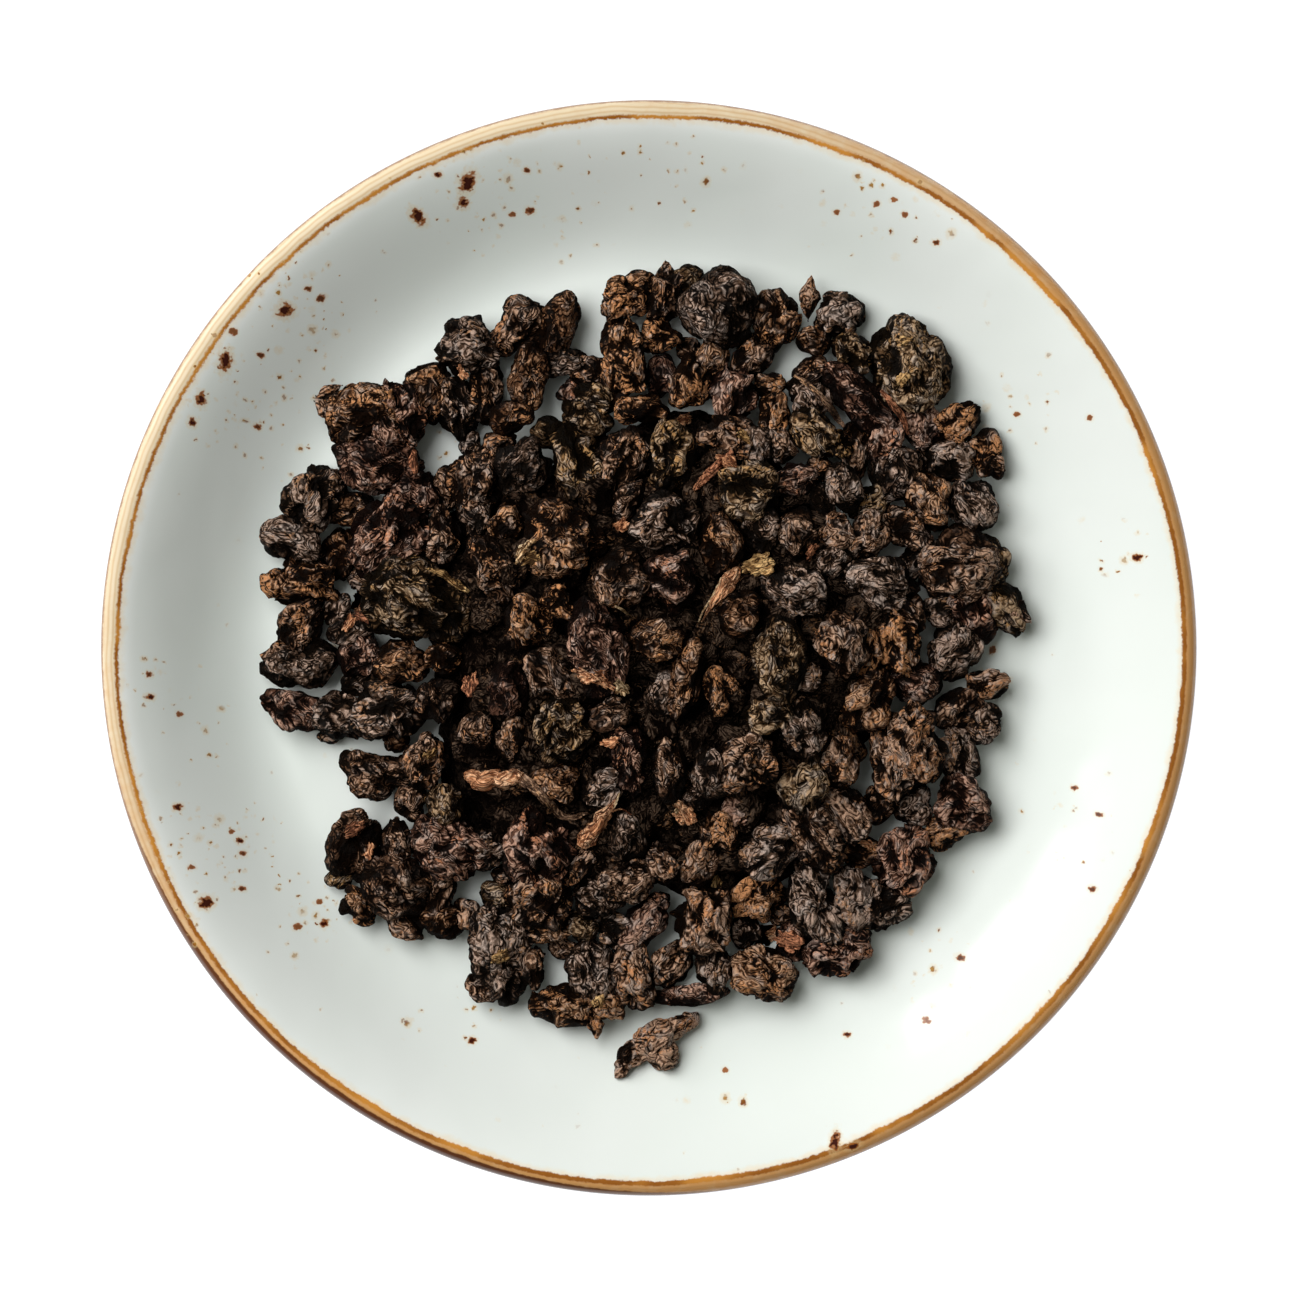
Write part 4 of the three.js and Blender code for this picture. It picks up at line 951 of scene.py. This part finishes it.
def bedGathering():
    # A lumpy bed in the middle of the heap, painted dark as shade.
    bed, gathering = underHeap, Gathering()
    share, waves, start = bed["rimWaves"]
    directions, faces = unitBall(bed["coreSplit"])
    angle = np.arctan2(directions[:, 1], directions[:, 0])
    rim = bed["coreRadius"] * (1 - share + share * np.sin(angle * waves + start))
    out = rim * np.hypot(directions[:, 0], directions[:, 1])
    top = standHeight(out) + bed["lift"] * smooth((rim - out) / bed["band"])
    low = dishTop(out) + rolledLeaf["gap"]
    z = np.where(directions[:, 2] > 0, low + (top - low) * smooth(directions[:, 2] * 3), low)
    x, y = out * np.cos(angle) + bed["middle"][0], out * np.sin(angle) + bed["middle"][1]
    points = np.stack([x, y, z], 1)
    gathering.add(points, faces, points, tone=0.2, size=1.1)
    return gathering


def fillGathering():
    # Smaller pellets half sunk in the bed, on a shaken grid of even triangles.
    bed, gathering = underHeap, Gathering()
    random = makeRandom(bed["fillSeed"])
    (narrow, wide), (least, spread) = bed["fillWidth"], bed["fillLonger"]
    middleX, middleY = bed["middle"]
    spacing, shake = bed["fillSpacing"], bed["fillShake"]
    steps = int(bed["fillRadius"] / spacing) + 1
    seed, triangleRow = bed["fillSeed"], 0.87
    for row in range(-steps, steps + 1):
        for column in range(-steps, steps + 1):
            x = (column + 0.5 * (row % 2)) * spacing + (random() - 0.5) * shake + middleX
            y = row * spacing * triangleRow + (random() - 0.5) * shake + middleY
            width = narrow + random() * (wide - narrow)
            turn, longer, tone = random() * 180, least + random() * spread, random() * 0.6
            if math.hypot(x - middleX, y - middleY) > bed["fillRadius"]:
                continue
            top = heightRatio * rolledLeaf["usualWidth"] - bed["fillDrop"] + random() * bed["fillRise"]
            middle = standHeight(math.hypot(x, y)) + top - heightRatio * width / 2
            shape = lobedPellet(seed, width * longer, width, bed["fillEdge"])
            gathering.lay(shape, seed, [x, y, middle], turn, tone, size=0.8)
            seed += 1
    print("fill pellets", seed - bed["fillSeed"])
    return gathering


# The bed and the fill pellets wear the leaf finish darkened many times over: painted shade deep in the heap.
paintedShadeLooks = {
    "bed": {"valley": (0.0018, 0.0011, 0.0008), "face": (0.007, 0.0042, 0.0028),
        "ridge": (0.024, 0.0155, 0.0105), "glow": (0.05, 0.025, 0.012), "glowShare": 0.3, "gloss": 0.03,
        "paintedSheen": 0},
    "fill": {"valley": (0.0022, 0.0012, 0.0008), "face": (0.018, 0.0103, 0.0066),
        "ridge": (0.085, 0.055, 0.037), "glow": (0.17, 0.082, 0.036), "glowShare": 0.5, "gloss": 0.05,
        "paintedSheen": 0},
}
for name, gathering in (("bed", bedGathering()), ("fill", fillGathering())):
    finish = leafMaterial(name + "Leaf", paintedShadeLooks[name])
    teaPieces.append(foldedPiece("under_leaves_" + name, gathering, finish))


# Pointed leaf ends at the outline, each [x, y, length, width, turn].
leafTips = [
    [-42.9, 34.1, 4.6, 1.8, 30], [-43.2, 32, 5, 2.2, -52], [2.2, 50.2, 3.6, 2.6, 92],
    [21.6, 46.6, 6.2, 3.2, 85], [-49.5, -1.1, 5.2, 4.8, 175], [49.2, 5, 5, 3.4, -40], [46, 24.7, 4, 3, -45],
    [17.2, -45.6, 4, 3.2, -70], [-7.1, -50.4, 3.8, 2.6, -88],
]
# The pellet that lies loose beside the heap, a twisted run of folds, each [x, y, length, width, turn].
looseFolds = [
    [-3.6, -56, 3.4, 2.2, 70], [-2.5, -54.4, 4.4, 3.4, 50], [0.5, -52.9, 6.6, 4.6, 45],
    [1.7, -54.7, 4.2, 3.6, 20], [3.3, -51, 5.8, 3.4, 35], [5.4, -49.9, 3.2, 2.2, 30],
]


def pointedEnd(seed, length, width):
    # A flat spindle with two points, curled up or down.
    directions, faces = unitBall(max(8, round(length * 3.2)))
    along = np.abs(directions[:, 0])
    narrow = np.power(np.maximum(1 - along, 0) / (1 + along), 0.42)[:, None]
    curl = (makeRandom(seed)() - 0.3) * 0.5
    points = directions * np.array([length / 2, width / 2, width / 3])
    points[:, 1:] *= narrow
    points[:, 2] += curl * width * 0.25 * (points[:, 0] / (length / 2)) ** 2
    return points, faces


ends = Gathering()
for seed, (x, y, length, width, turn) in enumerate(leafTips, seeds["ends"]):
    middle = max(dish["floorTop"] + 3.8, dishTop(math.hypot(x, y)) + rolledLeaf["gap"] + width / 3)
    ends.lay(pointedEnd(seed, length, width), seed, [x, y, middle], turn, tone=0.5, size=0.42,
             paintShadeBelow=False)
teaPieces.append(foldedPiece("leaf_points", ends, leafFinishes["umber"]))

loose = Gathering()
for seed, (x, y, length, width, turn) in enumerate(looseFolds, seeds["loose"]):
    middle = dishTop(math.hypot(x, y)) + rolledLeaf["gap"] + heightRatio * width / 2
    loose.lay(lobedPellet(seed, length, width, edge=0.2), seed, [x, y, middle], turn, tone=0.6, size=0.6,
              paintShadeBelow=False)
loosePiece = foldedPiece("loose_rolled_leaf", loose, leafFinishes["umber"], "loose_pellet")


# Stalks and torn scraps that lie on the heap.
allPoints = np.concatenate([readPoints(piece.data) for piece in teaPieces])


def heapTop(x, y, reach=0.55):
    # Height of the highest leaf near a place.
    near = np.hypot(allPoints[:, 0] - x, allPoints[:, 1] - y) < reach
    return float(allPoints[near, 2].max()) if near.any() else dish["floorTop"]


# Each stalk: kind and points [x, y, width] along it.
stalks = [
    ["orange", [[-24.3, -17.2, 1.3], [-23.3, -17.2, 2.3], [-22, -17.8, 2.6], [-20.6, -17.1, 2.1],
        [-19.3, -17.5, 2.6], [-17.6, -16.7, 2.3], [-16.3, -17.1, 1.2]]],
    ["brown", [[-16.9, -17.2, 1.5], [-15.4, -18.2, 1.3], [-14.3, -19.4, 1.3], [-12.9, -21, 1.2],
        [-11.5, -22.6, 1.1], [-9.6, -22.5, 0.9], [-8, -21.6, 0.4]]],
    ["orange", [[-16.6, -17.9, 0.3], [-15.1, -18.9, 0.9], [-13.9, -20.2, 0.3]]],
    ["orange", [[-8.9, -26.5, 1.2], [-8.2, -25.3, 2.3], [-7, -23.9, 1.5], [-6.4, -22.4, 2],
        [-5.2, -21, 1], [-4, -19.5, 0.4]]],
    ["pale", [[-6, -22.6, 0.3], [-4.6, -21.1, 0.4], [-3.9, -19.2, 0.15]]],
    ["orange", [[-5.4, -21.6, 0.3], [-3.6, -21.2, 0.3], [-2.3, -22.1, 0.12]]],
    ["orange", [[11.9, 10.4, 0.5], [11.2, 9.4, 1.7], [10.2, 8, 1.9], [9, 6.7, 0.9], [7.8, 5.2, 0.5],
        [6.9, 3.6, 0.2]]],
    ["pale", [[9.6, 9.3, 0.2], [8.7, 7.2, 0.4], [7.2, 5, 0.3], [6.6, 3.4, 0.12]]],
    ["rust", [[6, 20.9, 0.3], [6.9, 21.9, 0.8], [8.2, 23.2, 1.1], [9.6, 24.7, 1], [11, 26, 0.5]]],
    ["orange", [[8.8, 25.4, 0.4], [9.9, 24.9, 1.4], [10.8, 24.4, 1.5], [11.7, 23.6, 0.4]]],
    ["tan", [[-29.2, 10.6, 0.4], [-27.4, 9.9, 0.9], [-26.4, 9.1, 0.6], [-25.4, 8.6, 1.1],
        [-23.9, 7.4, 0.4]]],
    ["rust", [[-31.2, 26.2, 0.4], [-31.3, 24.8, 1.1], [-31, 23.2, 0.4]]],
    ["rust", [[30.8, 34.2, 0.4], [32.2, 32.6, 0.8], [33.8, 30.4, 0.9], [34.6, 28.2, 0.4]]],
    ["brown", [[19.4, 36.2, 0.4], [22, 34.3, 0.8], [24.4, 31.9, 0.9], [26, 29.4, 0.4]]],
    ["pale", [[-4.4, 5.4, 0.2], [-3.3, 4.9, 0.4], [-2.3, 4.1, 0.2]]],
]
# Each scrap: kind, [x, y, length, width, turn in degrees, thickness].
scraps = [
    ["orange", [-39, 5.9, 3.4, 2.3, 100, 0.8]], ["orange", [-39.7, 3.6, 2.6, 1.5, 60, 0.6]],
    ["rust", [-38.2, 4, 2.2, 1.2, 150, 0.6]], ["rust", [-23.6, -4.7, 3.4, 2.1, 70, 0.9]],
    ["orange", [-8.3, -3.7, 3.4, 1.3, 160, 0.8]], ["orange", [-6.1, -4.3, 3.6, 2.2, 150, 1]],
    ["pale", [-3.5, -5.3, 2.4, 1.6, 120, 0.9]], ["tan", [14.3, 10.9, 3.9, 3.3, 20, 2]],
    ["orange", [4.7, 30.6, 2.4, 1.7, 20, 1.3]], ["orange", [4.5, -21.8, 3.2, 2.2, 130, 1.1]],
    ["pale", [3.9, -21.2, 1.6, 0.9, 60, 0.7]], ["tan", [9.3, -31.1, 2.6, 1.6, 80, 1]],
    ["orange", [29.2, -26.5, 2.8, 1.2, 145, 0.8]], ["orange", [16.2, -38.4, 3.6, 2.2, 20, 0.8]],
    ["rust", [18.4, -39, 3.4, 2.4, 170, 0.9]], ["pale", [-16.3, 12.6, 3.4, 1.5, 50, 0.9]],
    ["tan", [-15.4, 11.7, 2.6, 1.7, 10, 0.9]], ["tan", [-28.9, -14.2, 1.9, 1.3, 40, 0.8]],
    ["tan", [-19.7, -41, 2.5, 1.6, 30, 0.9]], ["tan", [-6.7, -47.2, 1.9, 1.6, 60, 0.8]],
    ["orange", [-37.4, -27.2, 2.3, 1.3, 80, 0.8]], ["rust", [-39.3, -24, 2.6, 1.7, 30, 0.8]],
    ["orange", [-3.8, 16.2, 2.4, 1.5, 30, 0.9]], ["orange", [-5.1, -12.5, 2.3, 1.3, 20, 0.9]],
    ["tan", [12.5, 28.2, 1.9, 1.2, 130, 0.7]], ["tan", [33.8, 35.5, 2, 1.3, 60, 0.7]],
    ["tan", [34, 40.8, 1.8, 1.1, 20, 0.7]], ["rust", [21.6, 12.6, 2.4, 1.2, 60, 0.7]],
    ["orange", [-24.8, 36.6, 1.9, 1.1, 120, 0.7]],
]
scrapLooks = {
    "orange": {"valley": (0.06, 0.017, 0.007), "face": (0.33, 0.12, 0.048), "ridge": (0.78, 0.375, 0.185),
        "glow": (0.92, 0.56, 0.33), "glowShare": 0.55, "gloss": 0.3, "depth": 0.5, "paintedSheen": 0},
    "rust": {"valley": (0.03, 0.0095, 0.0042), "face": (0.18, 0.062, 0.03), "ridge": (0.5, 0.205, 0.104),
        "glow": (0.7, 0.31, 0.15), "glowShare": 0.5, "gloss": 0.25, "depth": 0.6, "paintedSheen": 0},
    "brown": {"valley": (0.025, 0.012, 0.0065), "face": (0.15, 0.078, 0.044), "ridge": (0.4, 0.24, 0.145),
        "glow": (0.6, 0.33, 0.16), "glowShare": 0.5, "gloss": 0.3, "depth": 0.5, "paintedSheen": 0.1},
    "tan": {"valley": (0.035, 0.0165, 0.0055), "face": (0.22, 0.112, 0.038), "ridge": (0.6, 0.355, 0.145),
        "glow": (0.8, 0.52, 0.23), "glowShare": 0.55, "gloss": 0.25, "depth": 0.6, "paintedSheen": 0},
    "pale": {"valley": (0.08, 0.036, 0.013), "face": (0.42, 0.24, 0.105), "ridge": (0.86, 0.6, 0.34),
        "glow": (0.94, 0.72, 0.45), "glowShare": 0.6, "gloss": 0.3, "depth": 0.5, "paintedSheen": 0},
}
stalkRule = {
    "stations": 10,  # from one given point to the next
    "around": 24,
    "smoothings": (3, 6),  # of its path, and of its height
    "topReach": 0.8,
    "lift": 0.04,
    "flat": 0.55,  # its height for its width
    "twist": 0.9,
    "ripples": (0.17, 0.09),
    "folds": (0.2, 0.5),  # depth of the folds for the width, and the most
}
scrapRule = {
    "split": 12,
    "slope": 0.7,  # steepest tilt
    "slopeStep": 0.9,  # reach over which the heap's slope is measured
    "teeth": ((3, 0.2), (7, 0.17), (13, 0.1)),  # jags of the outline and their depth
    "folds": (0.26, 0.6),
}
kernel = np.array([1, 4, 6, 4, 1]) / 16


def stalkShape(points, seed):
    # A flattened, ridged, uneven stem that follows the heap's top; both ends close.
    rule, path = stalkRule, np.array(points, float)
    stations = np.linspace(0, len(path) - 1, (len(path) - 1) * rule["stations"] + 1)
    x, y, width = (np.interp(stations, np.arange(len(path)), path[:, i]) for i in range(3))
    pathRounds, heightRounds = rule["smoothings"]
    for _ in range(pathRounds):
        for row in (x, y, width):
            row[2:-2] = np.convolve(row, kernel, "valid")
    z = np.array([heapTop(a, b, rule["topReach"]) for a, b in zip(x, y)])
    for _ in range(heightRounds):
        z[2:-2] = np.convolve(z, kernel, "valid")
    middle = np.stack([x, y, z + width * rule["lift"]], 1)
    ahead = np.gradient(middle, axis=0)
    ahead /= np.linalg.norm(ahead, axis=1, keepdims=True)
    side = np.cross([0, 0, 1], ahead)
    side /= np.linalg.norm(side, axis=1, keepdims=True)
    upward = np.cross(ahead, side)
    random = makeRandom(seed)
    ridges, shift = 4 + math.floor(random() * 3), random() * 6
    around = np.linspace(0, 2 * math.pi, rule["around"] + 1)[:-1]
    along = stations[:, None]
    twist = around[None] + along * (random() - 0.5) * rule["twist"]
    large, small = rule["ripples"]
    ripple = 1 + large * np.cos(ridges * twist + shift) + small * np.sin(3 * twist + along * 4.3 + shift)
    half = (width / 2)[:, None] * ripple
    across, up = half * np.cos(around), half * np.sin(around)
    points = (middle[:, None] + side[:, None] * across[..., None]
              + upward[:, None] * (up * rule["flat"])[..., None])
    points = np.concatenate([points.reshape(-1, 3), middle[:1], middle[-1:]])
    distance = np.concatenate([[0], np.cumsum(np.linalg.norm(np.diff(middle, axis=0), axis=1))])
    own = np.stack([np.repeat(distance * 0.5, len(around)), across.ravel() * 1.5, up.ravel() * 1.5], 1)
    own = np.concatenate([own, own[:1], own[-1:]]) + np.array([seed * 3.1, seed * 5.3, 0])
    return points, tubeFaces(len(stations), len(around)), own


def scrapShape(row, seed):
    # A torn bit of leaf: a flat ball with a jagged outline, curled up at its ends and tilted to the heap.
    x, y, length, width, turn, thick = row
    directions, faces = unitBall(scrapRule["split"])
    random = makeRandom(seed)
    angle = np.arctan2(directions[:, 1], directions[:, 0])
    jag = 0
    for teeth, depth in scrapRule["teeth"]:
        swing = (angle / (2 * math.pi) * teeth + random()) % 1
        jag = jag + depth * (np.abs(swing * 2 - 1) - 0.5) * 2
    reach = 1 + jag * np.hypot(directions[:, 0], directions[:, 1]) ** 2
    curl = 0.5 + random()
    points = directions * np.stack([reach * length / 2, reach * width / 2, np.full(len(angle), thick / 2)], 1)
    points[:, 2] += thick * curl * 0.5 * ((points[:, 0] / length * 2) ** 2 - 0.3)
    own = points * np.array([0.6, 1.5, 1.5]) + np.array([seed * 3.7, seed * 2.3, 0])
    points = turnAbout(points, turn)
    step, steepest = scrapRule["slopeStep"], scrapRule["slope"]
    slopes = [(heapTop(x + a, y + b) - heapTop(x - a, y - b)) / (2 * step) for a, b in ((step, 0), (0, step))]
    slopeX, slopeY = (max(-steepest, min(steepest, slope)) for slope in slopes)
    points[:, 2] += points[:, 0] * slopeX + points[:, 1] * slopeY
    return points + np.array([x, y, heapTop(x, y) + thick * 0.05]), faces, own


scrapPieces = []
for kind, look in scrapLooks.items():
    gathering = Gathering()
    for seed, (named, points) in enumerate(stalks, seeds["stalks"]):
        if named == kind:
            share, most = stalkRule["folds"]
            gathering.add(*stalkShape(points, seed), 0.5, min(most, max(row[2] for row in points) * share))
    for seed, (named, row) in enumerate(scraps, seeds["scraps"]):
        if named == kind:
            share, most = scrapRule["folds"]
            gathering.add(*scrapShape(row, seed), 0.5, min(most, row[3] * share))
    finish = leafMaterial(kind + "Scrap", look)
    scrapPieces.append(foldedPiece("leaf_scraps_" + kind, gathering, finish))


studio = {
    "floorSize": 3.0,
    "floorColour": (0.16, 0.16, 0.16),
    "floorGlow": 0.98,
    "keyPower": 11.6,
    "keyColour": (0.995, 0.994, 1.0),
    "keyTurn": 147.0,
    "keyHeight": 52.0,
    "keyDistance": 0.9,
    "keySize": 0.8,
    "topPower": 0.7,
    "topHeight": 1.5,
    "topSize": 0.8,
    "skyColour": (1.0, 0.99, 0.82),
    "skyStrength": 0.08,
    # each [turn, width, height, power]
    "panes": [
        [127.5, 0.17, 0.34, 0.9], [139.5, 0.26, 0.42, 1.9],
        [152.0, 0.19, 0.36, 1.2], [162.5, 0.1, 0.22, 0.35],
    ],
    "paneHeight": 14.0,
    "paneDistance": 1.4,
    "target": (0, 0, 0.012),
    "cameraHeight": 0.717,
    "pictureHalf": 85.95,
    "pictureMiddle": (0.16, -0.29),
}
white = (1.0, 1.0, 1.0)


def floorPiece():
    half = studio["floorSize"] / 2
    mesh = bpy.data.meshes.new("floor")
    corners = [(-half, -half, 0), (half, -half, 0), (half, half, 0), (-half, half, 0)]
    mesh.from_pydata(corners, [], [(0, 1, 2, 3)])
    material, graph = newMaterial("paleFloor")
    finishMaterial(graph, {"Base Color": studio["floorColour"] + (1.0,), "Roughness": 0.9,
                           "Specular IOR Level": 0.1, "Emission Color": white + (1.0,),
                           "Emission Strength": studio["floorGlow"]})
    mesh.materials.append(material)
    return addPiece("floor", mesh)


def addWindow(name, turn, height, distance, size, power, colour=white):
    # A soft rectangular light that faces the dish.
    light = bpy.data.lights.new(name, "AREA")
    light.shape = "RECTANGLE"
    light.size, light.size_y = size
    light.energy = power
    light.color = colour
    holder = bpy.data.objects.new(name, light)
    scene.collection.objects.link(holder)
    turn, height = math.radians(turn), math.radians(height)
    place = Vector((math.cos(turn) * math.cos(height), math.sin(turn) * math.cos(height), math.sin(height)))
    holder.location = Vector(studio["target"]) + place * distance
    holder.rotation_euler = (-place).to_track_quat("-Z", "Y").to_euler()
    return holder


floor = floorPiece()
# the key and the top light are too broad to be seen in the glaze, and the panes low on the left are what it
# mirrors
key = addWindow("key_window", studio["keyTurn"], studio["keyHeight"], studio["keyDistance"],
                [studio["keySize"]] * 2, studio["keyPower"], studio["keyColour"])
top = addWindow("top_window", 0, 90, studio["topHeight"], [studio["topSize"]] * 2, studio["topPower"])
key.visible_glossy = top.visible_glossy = False
for turn, width, height, power in studio["panes"]:
    addWindow("window_pane", turn, studio["paneHeight"], studio["paneDistance"], (width, height), power)

world = bpy.data.worlds.new("studio")
world.use_nodes = True
background = world.node_tree.nodes["Background"]
background.inputs["Color"].default_value = studio["skyColour"] + (1.0,)
background.inputs["Strength"].default_value = studio["skyStrength"]
scene.world = world

camera = bpy.data.cameras.new("camera")
cameraHolder = bpy.data.objects.new("camera", camera)
scene.collection.objects.link(cameraHolder)
# the picture's half width is measured at the height of the rim
rimHeight = (beadHeight + 0.6) * millimetre
halfAngle = studio["pictureHalf"] * millimetre / (studio["cameraHeight"] - rimHeight)
camera.sensor_width = 36
camera.lens = camera.sensor_width / 2 / halfAngle
middleX, middleY = studio["pictureMiddle"]
cameraHolder.location = (middleX * millimetre, middleY * millimetre, studio["cameraHeight"])
camera.clip_start, camera.clip_end = 0.01, 20
scene.camera = cameraHolder
scene.view_settings.view_transform = "Standard"
print("studio set up")


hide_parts("dish")
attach(dishPiece, "root")
for piece in teaPieces + scrapPieces:
    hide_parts("tea_heap")
    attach(piece, "root")
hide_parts("loose_pellet")
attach(loosePiece, "root")
